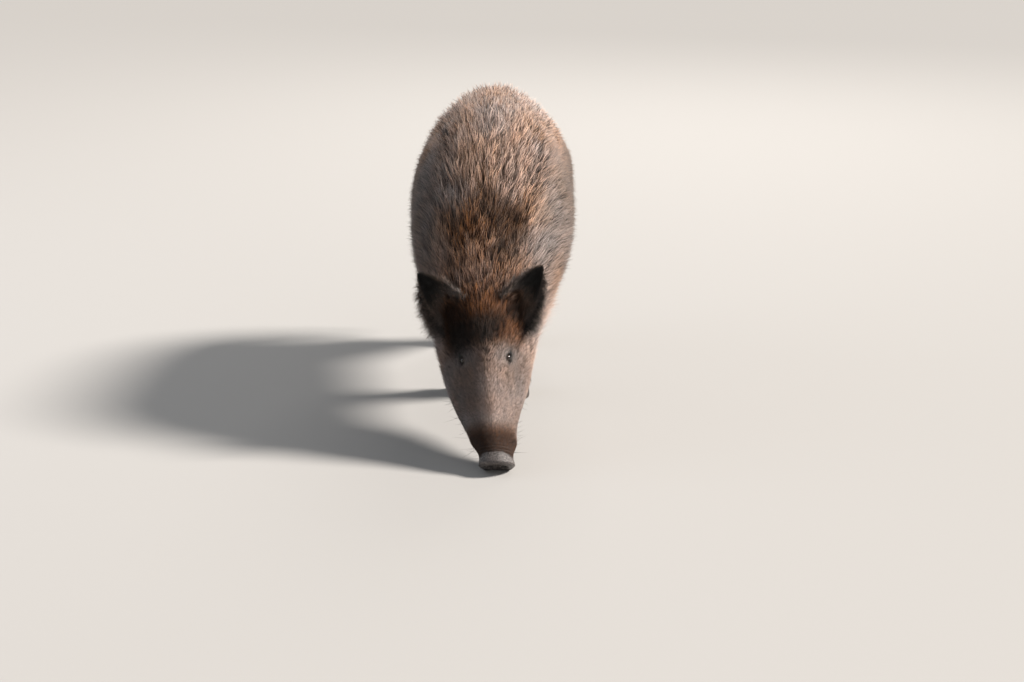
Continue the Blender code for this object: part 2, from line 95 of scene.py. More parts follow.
# out from the middle, back and up of the leg's centre, half depth, half width
foreRows = (
    (0.108, 0.585, 0.600, 0.084, 0.052),
    (0.126, 0.598, 0.500, 0.110, 0.078),
    (0.120, 0.618, 0.420, 0.098, 0.072),
    (0.106, 0.640, 0.355, 0.072, 0.060),
    (0.092, 0.650, 0.300, 0.053, 0.049),
    (0.081, 0.651, 0.235, 0.040, 0.037),
    (0.076, 0.646, 0.198, 0.038, 0.035),
    (0.073, 0.652, 0.150, 0.030, 0.028),
    (0.071, 0.660, 0.100, 0.029, 0.027),
    (0.070, 0.666, 0.074, 0.034, 0.031),
    (0.069, 0.656, 0.048, 0.031, 0.030),
    (0.069, 0.648, 0.034, 0.024, 0.027),
)
hindRows = (
    (0.112, 1.060, 0.620, 0.120, 0.070),
    (0.130, 1.082, 0.540, 0.148, 0.076),
    (0.134, 1.086, 0.465, 0.138, 0.073),
    (0.126, 1.084, 0.400, 0.108, 0.063),
    (0.110, 1.104, 0.335, 0.073, 0.050),
    (0.097, 1.136, 0.275, 0.051, 0.040),
    (0.091, 1.154, 0.236, 0.043, 0.035),
    (0.087, 1.148, 0.190, 0.034, 0.030),
    (0.084, 1.134, 0.120, 0.029, 0.027),
    (0.083, 1.128, 0.084, 0.034, 0.031),
    (0.082, 1.112, 0.052, 0.031, 0.030),
    (0.082, 1.102, 0.036, 0.024, 0.027),
)
# how deep the coat is: middle-line distance from the snout, at the crest, side and underside
coatDepths = (
    (0.000, 0.0004, 0.0004, 0.0004),
    (0.030, 0.0008, 0.0008, 0.0010),
    (0.060, 0.0020, 0.0025, 0.0025),
    (0.140, 0.0030, 0.0038, 0.0045),
    (0.230, 0.0045, 0.0060, 0.0070),
    (0.300, 0.0085, 0.0110, 0.0110),
    (0.370, 0.0180, 0.0190, 0.0150),
    (0.450, 0.0320, 0.0210, 0.0150),
    (0.560, 0.040, 0.018, 0.014),
    (0.700, 0.036, 0.016, 0.013),
    (0.850, 0.024, 0.015, 0.012),
    (1.100, 0.020, 0.015, 0.012),
    (1.300, 0.016, 0.014, 0.012),
    (1.450, 0.012, 0.011, 0.010),
)


# ---- small tools ----
def eased(value):
    value = np.clip(value, 0, 1)
    return value * value * (3 - 2 * value)


def unit(vectors):
    return vectors / np.maximum(np.linalg.norm(vectors, axis=-1, keepdims=True), 1e-12)


def posed(points):
    # leans the head about the snout, fading along the neck, and sets the rump aside
    x, back, up = np.moveaxis(points, -1, 0)
    angle = stance["headTilt"] * eased((0.56 - back) / 0.30)
    newX = x * np.cos(angle) - (up - stance["leanPivot"]) * np.sin(angle)
    newX = newX + stance["rumpAside"] * eased((back - 0.7) / 0.45) * eased(up / stance["rumpRise"])
    newX = newX - stance["headAside"] * eased((up - 0.02) / 0.09) * eased((0.50 - back) / 0.25)
    newUp = up * np.cos(angle) + x * np.sin(angle) * eased(up / 0.15)
    return np.stack([newX, back - stance["middle"], newUp], -1)


pitch = stance["headPitch"]
alongDir = np.array([math.cos(pitch), math.sin(pitch)])     # (back, up), snout to poll
underDir = np.array([math.sin(pitch), -math.cos(pitch)])    # (back, up), top line to jaw


def headPoint(along, under, out):
    # a place in the head's own lines as (x, back, up)
    back = along * alongDir[0] + under * underDir[0]
    up = stance["snoutTop"] + along * alongDir[1] + under * underDir[1]
    return np.stack(np.broadcast_arrays(out, back, up), -1)


def headLines(points):
    # the other way round: how far along and under the head's top line a point lies
    back, up = points[..., 1], points[..., 2] - stance["snoutTop"]
    return back * alongDir[0] + up * alongDir[1], back * underDir[0] + up * underDir[1]


def rowLengths(rows):
    rows = np.array(rows, float)
    middle = rows[:, :3] if rows.shape[1] == 5 else (rows[:, 0:2] + rows[:, 2:4]) / 2
    return np.concatenate([[0.0], np.cumsum(np.linalg.norm(np.diff(middle, axis=0), axis=1))])


def smoothRows(rows, want):
    # the rows read along one smooth curve (cubic Hermite, slopes by differences)
    rows = np.array(rows, float)
    at = rowLengths(rows)
    slope = np.gradient(rows, at, axis=0)
    i = np.clip(np.searchsorted(at, want) - 1, 0, len(at) - 2)
    span = (at[i + 1] - at[i])[:, None]
    t = (want - at[i])[:, None] / span
    return (
        (2 * t**3 - 3 * t**2 + 1) * rows[i]
        + (t**3 - 2 * t**2 + t) * span * slope[i]
        + (3 * t**2 - 2 * t**3) * rows[i + 1]
        + (t**3 - t**2) * span * slope[i + 1]
    )


def steps(*stretches):
    # places along a line from stretches of (start, end, count), each leaving out its end
    return np.concatenate([np.linspace(a, b, n, endpoint=False) for a, b, n in stretches])


def gridNormals(grid):
    # outward normals of a grid whose rows run along the piece and whose columns go round it
    along = np.gradient(grid, axis=0)
    round_ = (np.roll(grid, -1, 1) - np.roll(grid, 1, 1)) / 2
    normal = unit(np.cross(round_, along))
    outward = grid - grid.mean(1, keepdims=True)
    sign = np.sign((normal * outward).sum(-1).mean())
    return normal * (sign or 1), unit(along), unit(round_)


def meshObject(name, points, faces, smooth=True):
    # an object from arrays: faces is an (n, 3) or (n, 4) array of corners
    mesh = bpy.data.meshes.new(name)
    points = np.ascontiguousarray(points, np.float32)
    faces = np.ascontiguousarray(faces, np.int32)
    mesh.vertices.add(len(points))
    mesh.vertices.foreach_set("co", points.ravel())
    mesh.loops.add(faces.size)
    mesh.loops.foreach_set("vertex_index", faces.ravel())
    mesh.polygons.add(len(faces))
    mesh.polygons.foreach_set("loop_start", np.arange(0, faces.size, faces.shape[1], dtype=np.int32))
    mesh.update(calc_edges=True)
    mesh.polygons.foreach_set("use_smooth", np.full(len(faces), smooth))
    piece = bpy.data.objects.new(name, mesh)
    bpy.context.scene.collection.objects.link(piece)
    return piece


def tubeObject(name, grid):
    # a closed skin over a grid: the columns wrap round and each end is fanned to a middle point
    rows, columns = grid.shape[:2]
    i, j = np.meshgrid(np.arange(rows - 1), np.arange(columns), indexing="ij")
    k = (j + 1) % columns
    quads = np.stack([i * columns + j, (i + 1) * columns + j, (i + 1) * columns + k, i * columns + k], -1)
    quads = quads.reshape(-1, 4)
    points = np.concatenate([grid.reshape(-1, 3), grid[:1].mean(1), grid[-1:].mean(1)])
    first, last = rows * columns, rows * columns + 1
    j = np.arange(columns)
    k = (j + 1) % columns
    base = (rows - 1) * columns
    start = np.stack([np.full(columns, first), j, k], -1)
    end = np.stack([np.full(columns, last), base + k, base + j], -1)
    triangles = np.concatenate([quads[:, [0, 1, 2]], quads[:, [0, 2, 3]], start, end])
    a, b, c = points[triangles[:, 0]], points[triangles[:, 1]], points[triangles[:, 2]]
    if (a * np.cross(b, c)).sum() < 0:
        triangles = triangles[:, ::-1]
    return meshObject(name, points, triangles)


def setFloats(mesh, name, values):
    made = mesh.attributes.new(name, "FLOAT", "POINT")
    made.data.foreach_set("value", np.ascontiguousarray(values, np.float32))


def pointsOf(mesh):
    points = np.empty(len(mesh.vertices) * 3, np.float32)
    mesh.vertices.foreach_get("co", points)
    return points.reshape(-1, 3).astype(float)


# ---- skin: one closed surface, built from lofts that are joined into each other ----
face = {
    "mouthUnder": (0.061, 0.088),       # the mouth line under the top line, front and back
    "mouthSpan": (0.020, 0.172),
    "eyeAlong": 0.268, "eyeUnder": 0.034, "eyeOut": 0.0485,
    "eyeRadius": 0.0122,
    "eyeLook": (0.80, -0.52, 0.30),     # out, back, up
    "eyeSlit": (0.10, 0.62, 0.78),      # from the front corner to the back corner
    "slitHalf": (1.02, 0.43),           # half opening of the lids, radians along and across
    "nostril": (0.0175, 0.039, 0.0075, 0.0105),     # out, under, half width, half height
    "columns": 216,
}


def headEnd(rows):
    # the head's rows in the trunk's terms: upper and lower outline as (back, up)
    rows = np.array(rows, float)
    top = headPoint(rows[:, 0], rows[:, 1], 0.0)[:, 1:]
    bottom = headPoint(rows[:, 0], rows[:, 2], 0.0)[:, 1:]
    return np.concatenate([top, bottom, rows[:, 3:]], 1)


def ringGrid(rows, turn):
    # each row's ring: an oval of sines and cosines raised to a power, the widest point moved down
    row = rows[:, None, :]
    sine, cosine = np.sin(turn)[None, :], np.cos(turn)[None, :]
    power = 2 / np.where(cosine >= 0, row[..., 6], row[..., 7])
    x = row[..., 4] * np.sign(sine) * np.abs(sine) ** power
    rise = np.abs(cosine) ** power
    widest = row[..., 5]
    down = np.where(cosine >= 0, widest * (1 - rise), widest + (1 - widest) * rise)
    back = row[..., 0] + down * (row[..., 2] - row[..., 0])
    up = row[..., 1] + down * (row[..., 3] - row[..., 1])
    return np.stack([x, back, up], -1)


def coatDepth(length, turn):
    # the coat's depth read from its table, eased round the ring from crest to side to underside
    table = np.array(coatDepths)
    crest, side, under = (np.interp(length, table[:, 0], table[:, i]) for i in (1, 2, 3))
    toCrest = eased((np.cos(turn) - 0.35) / 0.6)
    toUnder = eased((-np.cos(turn) - 0.2) / 0.6)
    return side + (crest - side) * toCrest + (under - side) * toUnder


def hill(distance, radius):
    # a smooth hill of height 1 that is about gone at the radius
    return np.exp(-3.0 * (distance / radius) ** 2)


eyeBase = {side: headPoint(face["eyeAlong"], face["eyeUnder"], side * face["eyeOut"])
           for side in (leftSide, rightSide)}


def mouthLine(along):
    # how far under the top line the mouth runs, on a slow wave, and a weight that fades at its ends
    front, back = face["mouthSpan"]
    high, low = face["mouthUnder"]
    share = np.clip((along - front) / (back - front), 0, 1)
    line = high + (low - high) * share + 0.0025 * np.sin(share * 2.2 * np.pi)
    line = line - 0.0060 * eased((share - 0.86) / 0.14)
    return line, eased((along - front + 0.012) / 0.010) * eased((back + 0.006 - along) / 0.018)


def headForms(points, normal):
    # hollows and swellings of the head, each a smooth hill along the skin's normal
    a, u = headLines(points)
    x = points[..., 0]
    out = np.abs(x)
    push = np.zeros_like(x)

    def swell(along, under, side, radius, height, stretch=1.0):
        where = headPoint(along, under, side)
        toward = points * np.array([1, 1, 1]) - where * np.array([1, 1, 1])
        toward[..., 0] = out - side
        alongPart = toward[..., 1] * alongDir[0] + toward[..., 2] * alongDir[1]
        rest = np.sqrt(np.maximum((toward ** 2).sum(-1) - alongPart ** 2, 0))
        return height * hill(np.hypot(alongPart / stretch, rest), radius)

    push += swell(0.300, 0.004, 0.048, 0.040, 0.0045, 1.5)          # brow
    push += swell(0.262, 0.082, 0.104, 0.045, 0.0050, 1.6)          # cheekbone
    push += swell(0.335, 0.130, 0.120, 0.060, 0.0060, 1.2)          # jaw muscle
    push += swell(0.066, 0.060, 0.050, 0.020, 0.0030, 1.4)          # lip over the canine
    push -= swell(0.150, 0.050, 0.066, 0.034, 0.0045, 2.0)          # hollow along the muzzle
    push -= swell(0.222, 0.044, 0.052, 0.014, 0.0028, 2.2)          # groove before the eye
    push -= swell(0.262, 0.056, 0.072, 0.014, 0.0022, 1.8)          # fold under the eye
    push -= swell(0.345, -0.020, 0.0, 0.040, 0.0030, 1.2)           # dip before the poll
    flat = eased((a - 0.03) / 0.04) * eased((0.22 - a) / 0.05) * eased((0.03 - u) / 0.03)
    push -= 0.0022 * flat * hill(out, 0.020)                        # the nose bone is flat on top
    # folds across the muzzle, low waves along the top line
    folds = hill(a - 0.036, 0.022) * eased((0.045 - u) / 0.03)
    push += 0.0009 * folds * np.sin(a * 2 * np.pi / 0.0085 + 26 * out)
    sideFolds = hill(a - 0.085, 0.040) * hill(u - 0.040, 0.030)
    push += 0.0006 * sideFolds * np.sin(a * 2 * np.pi / 0.013 - 70 * u)
    # the mouth is a groove that follows a slightly waved line back to its corner
    line, inside = mouthLine(a)
    push -= 0.0056 * inside * np.exp(-((u - line) / 0.0028) ** 2)
    push += 0.0016 * inside * np.exp(-((u - line + 0.0065) / 0.004) ** 2)
    push += 0.0012 * inside * np.exp(-((u - line - 0.0065) / 0.004) ** 2)
    # the chin lies further back than the snout's disc
    push -= 0.0070 * eased((0.026 - a) / 0.008) * eased((u - line - 0.001) / 0.004) \
        * eased((a - 0.006) / 0.006)
    # rim of the disc, and the neck behind it
    push += 0.0010 * hill(a - 0.006, 0.007)
    push -= 0.0005 * hill(a - 0.018, 0.010)
    for side in (leftSide, rightSide):
        gap = np.linalg.norm(points - eyeBase[side], axis=-1)
        push = push - 0.0125 * eased((0.0185 - gap) / 0.0075)
    return push


def spacedTurns(count):
    # turns round the ring, closer together at the height of the eyes
    base = np.linspace(0, 2 * np.pi, 4001)
    near = 1 + 1.6 * (np.exp(-((base - 0.75) / 0.34) ** 2) + np.exp(-((base - 2 * np.pi + 0.75) / 0.34) ** 2))
    total = np.concatenate([[0], np.cumsum((near[1:] + near[:-1]) / 2)])
    return np.interp(np.arange(count) / count * total[-1], total, base)


bodyRows = np.concatenate([headEnd(headRows), np.array(trunkRows, float)])
bodyAt = rowLengths(bodyRows)
bodyTurn = spacedTurns(face["columns"])
bodyWant = np.concatenate([
    steps((0, 0.05, 28), (0.05, 0.20, 56), (0.20, 0.31, 52), (0.31, 0.46, 34), (0.46, bodyAt[-1], 104)),
    bodyAt[-1:],
])
bodyGrid = ringGrid(smoothRows(bodyRows, bodyWant), bodyTurn)
bodyNormal, bodyFlow, bodyRound = gridNormals(bodyGrid)


def nostrilGap(x, under):
    # distance from the nearer nostril's middle: 1 on its edge, an oval leaning outward
    wide, low, halfWide, halfHigh = face["nostril"]
    gaps = []
    for side in (leftSide, rightSide):
        across = (x - side * wide) * 0.94 + side * (under - low) * 0.34
        up = (under - low) * 0.94 - side * (x - side * wide) * 0.34
        gaps.append(np.hypot(across / halfWide, up / halfHigh))
    return np.minimum(*gaps)


def noseFace(rim, count):
    # the disc's front: rings from near its middle out to the rim, with nostrils sunk in
    share = np.linspace(0.03, 1, count, endpoint=False)[:, None, None]
    middle = rim.mean(0)
    face_ = middle + share * (rim[None] - middle)
    outward = np.array([0, -alongDir[0], -alongDir[1]])
    x, (a, u) = face_[..., 0], headLines(face_)
    push = -0.0030 * (1 - share[..., 0] ** 3)
    push = push + 0.0007 * np.cos(share[..., 0] * 9)
    gap = nostrilGap(x, u)
    push = push - 0.0120 * eased((1.12 - gap) / 0.62)
    push = push + 0.0013 * np.exp(-((gap - 1.45) / 0.25) ** 2)
    push = push - 0.0012 * hill(x, 0.004) * eased((0.060 - u) / 0.02)
    return face_ + push[..., None] * outward


depthOfCoat = coatDepth(bodyWant[:, None], bodyTurn[None, :])
for side in (leftSide, rightSide):
    gap = np.linalg.norm(bodyGrid - eyeBase[side], axis=-1)
    depthOfCoat = depthOfCoat + (0.0022 - depthOfCoat) * eased((0.042 - gap) / 0.026)
push = headForms(bodyGrid, bodyNormal) - depthOfCoat
bodySkin = bodyGrid + push[..., None] * bodyNormal
bodySkin = np.concatenate([noseFace(bodySkin[0], 22), bodySkin])


# ---- legs, tail, ears and lids, as lofts of the same kind ----
leg = {
    "rows": 66, "columns": 52,
    "coat": ((0.034, 0.0015), (0.09, 0.003), (0.20, 0.004), (0.32, 0.008), (0.45, 0.013), (0.62, 0.016)),
}
tail = {"root": (1.190, 0.640), "length": 0.300, "back": 0.082, "rows": 60, "columns": 24, "coat": 0.004}
ear = {
    "length": 0.118, "width": 0.110, "skew": 0.045,
    "root": (0.385, 0.022, 0.083),      # along, under, out
    "points": (0.80, 0.12, 0.59),       # out, back, up
    "opens": (0.30, -0.95, 0.05),
    "inset": 0.0030, "rows": 72, "columns": 28,
}


def legGrid(rows, side):
    # level ovals about the leg's centre line, each drawn in by the coat's depth there
    length = rowLengths(rows)[-1]
    row = smoothRows(rows, np.linspace(0, length, leg["rows"]))
    coat = np.array(leg["coat"])
    depth = np.interp(row[:, 2], coat[:, 0], coat[:, 1])[:, None]
    turn = np.linspace(0, 2 * np.pi, leg["columns"], endpoint=False)[None, :]
    x = side * row[:, 0:1] + (row[:, 4:5] - depth) * np.sin(turn)
    back = row[:, 1:2] + (row[:, 3:4] - depth) * np.cos(turn)
    up = np.broadcast_to(row[:, 2:3], x.shape)
    bone = 0.0016 * np.cos(2 * turn) * eased((0.30 - up) / 0.08) * eased((up - 0.09) / 0.03)
    x = x - bone * np.sin(turn) * 0.8
    tendon = 0.0028 * np.exp(-((np.cos(turn) - 0.62) / 0.16) ** 2) \
        * eased((0.23 - up) / 0.05) * eased((up - 0.10) / 0.03)
    back = back - tendon
    return np.stack([x, back, up], -1)


def tailPath(share):
    # the tail swings out of the rump on a quarter sine, then hangs straight
    back = tail["root"][0] + tail["back"] * np.sin(np.minimum(share / 0.36, 1) * np.pi / 2)
    up = tail["root"][1] - tail["length"] * share
    return np.stack([np.zeros_like(share), back, up], -1)


def tailGrid():
    # rings square to the tail's path, as thick as the tail without its coat
    share = np.linspace(0, 1, tail["rows"])
    path = tailPath(share)
    thick = np.interp(share, (0, 0.3, 0.62, 0.8, 0.93, 1), (0.026, 0.016, 0.012, 0.0105, 0.0085, 0.004))
    thick = thick - tail["coat"] * (1 - 0.4 * share)
    runs = unit(np.gradient(path, axis=0))
    front = np.cross(runs, np.array([1.0, 0, 0]))
    turn = np.linspace(0, 2 * np.pi, tail["columns"], endpoint=False)
    ring = np.cos(turn)[None, :, None] * np.array([1.0, 0, 0]) + np.sin(turn)[None, :, None] * front[:, None]
    return path[:, None] + thick[:, None, None] * ring


def earAxes():
    along = unit(np.array(ear["points"]))
    opens = np.array(ear["opens"])
    opens = unit(opens - (opens @ along) * along)
    return np.cross(along, opens), along, opens


def earGrid(side):
    # crescents: an outer and an inner arc of one bend, carried from the root to the tip
    share = np.linspace(-0.22, 1, ear["rows"])[:, None]
    s = np.maximum(share, 0)
    half = (ear["width"] / 2 - ear["inset"]) * (1 - 0.12 * share) * np.maximum(1 - s ** 2.2, 0) ** 0.85 + 0.0012
    bend = np.radians(78 - 30 * share)
    radius = half / np.sin(bend)
    thick = 0.0060 - 0.0035 * s
    middle = -ear["skew"] * s ** 1.2
    count = ear["columns"]
    outer = np.linspace(-1, 1, count)[None, :]
    inner = np.linspace(1, -1, count)[None, 1:-1]
    rim = (1 - outer ** 8)
    # three low ridges run up inside the ear's hollow
    ridges = 0.0016 * np.cos(inner * 3.2 * np.pi) * eased((1 - np.abs(inner)) / 0.3) * eased((0.75 - share) / 0.5)
    angle = np.concatenate([outer * bend, inner * bend], 1)
    reach = np.concatenate([radius + 0 * outer, radius - thick * (1 - inner ** 8) - ridges], 1)
    acrossAt = middle + reach * np.sin(angle)
    deep = radius * np.cos(bend) - reach * np.cos(angle)
    along = np.broadcast_to(share * (ear["length"] - ear["inset"]), acrossAt.shape)
    axes = earAxes()
    at = acrossAt[..., None] * axes[0] + along[..., None] * axes[1] + deep[..., None] * axes[2]
    at = at + headPoint(ear["root"][0], ear["root"][1], ear["root"][2])
    return at * np.array([side, 1, 1])


def eyeAxes(side):
    look = unit(np.array(face["eyeLook"]) * np.array([side, 1, 1]))
    slit = np.array([side * face["eyeSlit"][0], face["eyeSlit"][1], face["eyeSlit"][2]])
    slit = unit(slit - (slit @ look) * look)
    return look, slit, np.cross(look, slit) * side


def lidGrid(side):
    # a loop of lid: a folded profile carried round the almond opening, on spheres about the eye
    look, slit, across = eyeAxes(side)
    turn = np.linspace(0, 2 * np.pi, 96, endpoint=False)[:, None]
    wide, high = face["slitHalf"]
    openAlong = wide * np.sign(np.cos(turn)) * np.abs(np.cos(turn)) ** 0.9
    openAcross = high * np.sin(turn) * np.abs(np.sin(turn)) ** 0.35
    openAcross = openAcross * np.where(openAcross > 0, 1.15, 0.85)
    # the profile: share of the way from the opening out to the far ring, height over the eye
    out = np.array([0.0, 0.0, 0.04, 0.12, 0.24, 0.36, 0.46, 0.58, 0.75, 1.0, 1.15, 1.0, 0.6, 0.25])
    high_ = np.array([0.1, 0.9, 1.7, 2.3, 2.5, 2.1, 1.7, 2.0, 2.0, 1.2, -1.0, -3.5, -3.0, -1.2]) * 0.001
    fine = np.linspace(0, len(out), 40, endpoint=False)
    out = np.interp(fine, np.arange(len(out) + 1), np.append(out, out[0]))[None, :]
    high_ = np.interp(fine, np.arange(15), np.append(high_, high_[0]))[None, :]
    far = 1.18
    angleAlong = openAlong + (far * np.cos(turn) - openAlong) * out
    angleAcross = openAcross + (far * np.sin(turn) - openAcross) * out
    angle = np.hypot(angleAlong, angleAcross)
    reach = face["eyeRadius"] + high_ * (1 + 0.35 * np.sin(turn) * (out < 0.5))
    spread = reach * np.sin(angle) / np.maximum(angle, 1e-9)
    at = look * (reach * np.cos(angle))[..., None]
    at = at + (spread * angleAlong)[..., None] * slit + (spread * angleAcross)[..., None] * across
    return at + eyeBase[side]


def ringObject(name, grid):
    # a closed skin over a grid that wraps both ways
    rows, columns = grid.shape[:2]
    i, j = np.meshgrid(np.arange(rows), np.arange(columns), indexing="ij")
    k, m = (j + 1) % columns, (i + 1) % rows
    quads = np.stack([i * columns + j, m * columns + j, m * columns + k, i * columns + k], -1).reshape(-1, 4)
    points = grid.reshape(-1, 3)
    triangles = np.concatenate([quads[:, [0, 1, 2]], quads[:, [0, 2, 3]]])
    a, b, c = points[triangles[:, 0]], points[triangles[:, 1]], points[triangles[:, 2]]
    if (a * np.cross(b, c)).sum() < 0:
        triangles = triangles[:, ::-1]
    return meshObject(name, points, triangles)


lofts = [("body", bodySkin), ("tail", tailGrid())]
for side, word in ((leftSide, "left"), (rightSide, "right")):
    lofts += [("foreleg_" + word, legGrid(foreRows, side)), ("hindleg_" + word, legGrid(hindRows, side))]
    lofts += [("ear_" + word, earGrid(side)), ("lid_" + word, lidGrid(side))]
made = []
for name, grid in lofts:
    build = ringObject if name.startswith("lid") else tubeObject
    made.append(build("loft_" + name, posed(grid)))
print("lofts", [(piece.name, len(piece.data.polygons)) for piece in made])


def united(base, others):
    # one closed surface from all of them
    for other in others:
        join = base.modifiers.new("join", "BOOLEAN")
        join.operation, join.solver, join.object = "UNION", "MANIFOLD", other
    graph = bpy.context.evaluated_depsgraph_get()
    mesh = bpy.data.meshes.new_from_object(base.evaluated_get(graph))
    base.modifiers.clear()
    return mesh


skinMesh = united(made[0], made[1:])
print("skin", len(skinMesh.vertices), "points", len(skinMesh.polygons), "faces")


# ---- what every point of the skin knows: its part, its place on an unwrap, its lie of hair ----
def smoothed(points, edges, weight, rounds):
    # each point moves toward the mean of its neighbours, as far as its weight says
    ends = np.concatenate([edges[:, 0], edges[:, 1]])
    others = np.concatenate([edges[:, 1], edges[:, 0]])
    count = np.maximum(np.bincount(ends, minlength=len(points)), 1)[:, None]
    for _ in range(rounds):
        total = np.stack([np.bincount(ends, column[others], len(points)) for column in points.T], 1)
        points = points + weight[:, None] * (total / count - points)
    return points


def nearestOf(tree, points):
    # index and distance of the nearest stored point
    found = [tree.find(point) for point in points]
    return np.array([f[1] for f in found]), np.array([f[2] for f in found])


def treeOf(points):
    tree = KDTree(len(points))
    for i, point in enumerate(points):
        tree.insert(point, i)
    tree.balance()
    return tree


parts = [name for name, grid in lofts]
facts = {"point": [], "flow": [], "round": [], "u": [], "v": [], "part": []}
for number, (name, grid) in enumerate(lofts):
    placed = posed(grid)
    flowing = unit(np.gradient(placed, axis=0))
    rows, columns = grid.shape[:2]
    facts["point"].append(placed.reshape(-1, 3))
    facts["flow"].append(flowing.reshape(-1, 3))
    facts["round"].append(unit(np.roll(placed, -1, 1) - np.roll(placed, 1, 1)).reshape(-1, 3))
    facts["u"].append(np.tile(np.arange(columns) / columns, rows))
    facts["v"].append(np.repeat(np.arange(rows) / (rows - 1), columns))
    facts["part"].append(np.full(rows * columns, number))
facts = {key: np.concatenate(value) for key, value in facts.items()}
skinPoints = pointsOf(skinMesh)
skinFact, skinGap = nearestOf(treeOf(facts["point"]), skinPoints)
skinPart = facts["part"][skinFact]
lidParts = [parts.index("lid_left"), parts.index("lid_right")]

# seams between the lofts are smoothed, widely at the legs and the tail, tightly at the ears
edges = np.empty(len(skinMesh.edges) * 2, np.int32)
skinMesh.edges.foreach_get("vertices", edges)
edges = edges.reshape(-1, 2)
crosses = skinPart[edges[:, 0]] != skinPart[edges[:, 1]]
seamNear = np.zeros(len(skinPoints))
for words, reach, rounds in ((("leg", "tail"), 0.030, 60), (("ear",), 0.010, 12), (("lid",), 0.0025, 4)):
    wanted = np.array([any(word in part for word in words) for part in parts])
    here = crosses & (wanted[skinPart[edges[:, 0]]] | wanted[skinPart[edges[:, 1]]])
    marks = skinPoints[np.unique(edges[here])]
    _, gap = nearestOf(treeOf(marks), skinPoints)
    skinPoints = smoothed(skinPoints, edges, 0.8 * eased((reach - gap) / reach), rounds)
    if "leg" in words:
        seamNear = eased((0.060 - gap) / 0.050)
skinPoints[:, 2] = np.maximum(skinPoints[:, 2], 0.0)
skinMesh.vertices.foreach_set("co", skinPoints.astype(np.float32).ravel())
skinMesh.update()
print("seams smoothed")

skin = bpy.data.objects.new("skin", skinMesh)
bpy.context.scene.collection.objects.link(skin)
skinMesh.polygons.foreach_set("use_smooth", np.ones(len(skinMesh.polygons), bool))
for piece in made:
    bpy.data.objects.remove(piece)


# ---- measures of every skin point that the coat and the colours are worked out from ----
raw = np.concatenate([grid.reshape(-1, 3) for name, grid in lofts])[skinFact]
bodyPart = parts.index("body")
noseRows = len(bodySkin) - len(bodyWant)
lengthOfRow = np.concatenate([np.zeros(noseRows), bodyWant])
rowOf = np.rint(facts["v"] * (len(bodySkin) - 1)).astype(int)
columnOf = np.rint(facts["u"] * len(bodyTurn)).astype(int)
onBody = skinPart == bodyPart
length = np.where(onBody, lengthOfRow[np.where(onBody, rowOf[skinFact], 0)], 0.0)
turn = np.where(onBody, bodyTurn[np.where(onBody, columnOf[skinFact] % len(bodyTurn), 0)], 0.0)
turn = (turn + np.pi) % (2 * np.pi) - np.pi         # 0 at the crest, plus on the animal's left
isLeg = np.isin(skinPart, [i for i, name in enumerate(parts) if "leg" in name])
isEar = np.isin(skinPart, [i for i, name in enumerate(parts) if "ear" in name])
isTail = skinPart == parts.index("tail")
isLid = np.isin(skinPart, lidParts)
u, v = facts["u"][skinFact], facts["v"][skinFact]

# where an ear's point lies: across (minus toward its lower edge), share of its length, which face
sideOf = np.sign(raw[:, 0]) + (raw[:, 0] == 0)
earFrom = raw * np.stack([sideOf, np.ones(len(raw)), np.ones(len(raw))], 1) \
    - headPoint(ear["root"][0], ear["root"][1], ear["root"][2])
earLocal = earFrom @ np.stack(earAxes()).T
earShare = np.clip(earLocal[:, 1] / ear["length"], 0, 1)
earHalf = ear["width"] / 2 * (1 - 0.12 * earShare) * np.maximum(1 - earShare ** 2.2, 0.02) ** 0.85
earAcross = np.clip((earLocal[:, 0] + ear["skew"] * earShare ** 1.2) / earHalf, -1.2, 1.2)
earInner = isEar & (u > 0.5)
earEdge = eased((np.abs(earAcross) - 0.55) / 0.4)
eyeGap = np.minimum(*(np.linalg.norm(raw - eyeBase[side], axis=1) for side in (leftSide, rightSide)))


def slitGapOf(raw, longer=1.0, higher=1.0):
    # distance from the eye's slit as a share of its half opening: 1 on the lids' edge
    gaps = []
    for side in (leftSide, rightSide):
        look, slit, across = eyeAxes(side)
        from_ = raw - eyeBase[side]
        reach = face["eyeRadius"]
        wide, high = (reach * np.sin(angle) for angle in face["slitHalf"])
        near = np.hypot((from_ @ slit) / (wide * longer), (from_ @ across) / (high * higher))
        gaps.append(np.where(from_ @ look > -0.2 * reach, near, 9.0))
    return np.minimum(*gaps)


eyeSlitGap = slitGapOf(raw)

headAlong, headUnder = headLines(raw)
mouthAt, mouthInside = mouthLine(headAlong)
mouthGap = np.where(onBody & (mouthInside > 0.3) & (length < 0.23), np.abs(headUnder - mouthAt), 9.0)

# length, crest, side and underside hair, hair width
hairTable = np.array([
    (0.020, 0.0045, 0.0045, 0.0045, 0.00060),
    (0.060, 0.009, 0.0095, 0.011, 0.00065),
    (0.140, 0.013, 0.0140, 0.016, 0.00070),
    (0.230, 0.017, 0.018, 0.021, 0.00080),
    (0.300, 0.023, 0.023, 0.028, 0.00100),
    (0.370, 0.038, 0.040, 0.038, 0.00110),
    (0.450, 0.058, 0.044, 0.040, 0.00130),
    (0.560, 0.074, 0.046, 0.040, 0.00142),
    (0.700, 0.072, 0.048, 0.040, 0.00148),
    (0.850, 0.060, 0.048, 0.040, 0.00150),
    (1.300, 0.050, 0.046, 0.040, 0.00150),
    (1.500, 0.040, 0.040, 0.036, 0.00150),
])
legHair = np.array([
    (0.034, 0.020, 0.0009), (0.055, 0.018, 0.0009), (0.090, 0.014, 0.0009), (0.200, 0.019, 0.0010),
    (0.320, 0.029, 0.0013), (0.450, 0.040, 0.0016), (0.620, 0.044, 0.0017),
])
toCrest = eased((np.cos(turn) - 0.45) / 0.5)
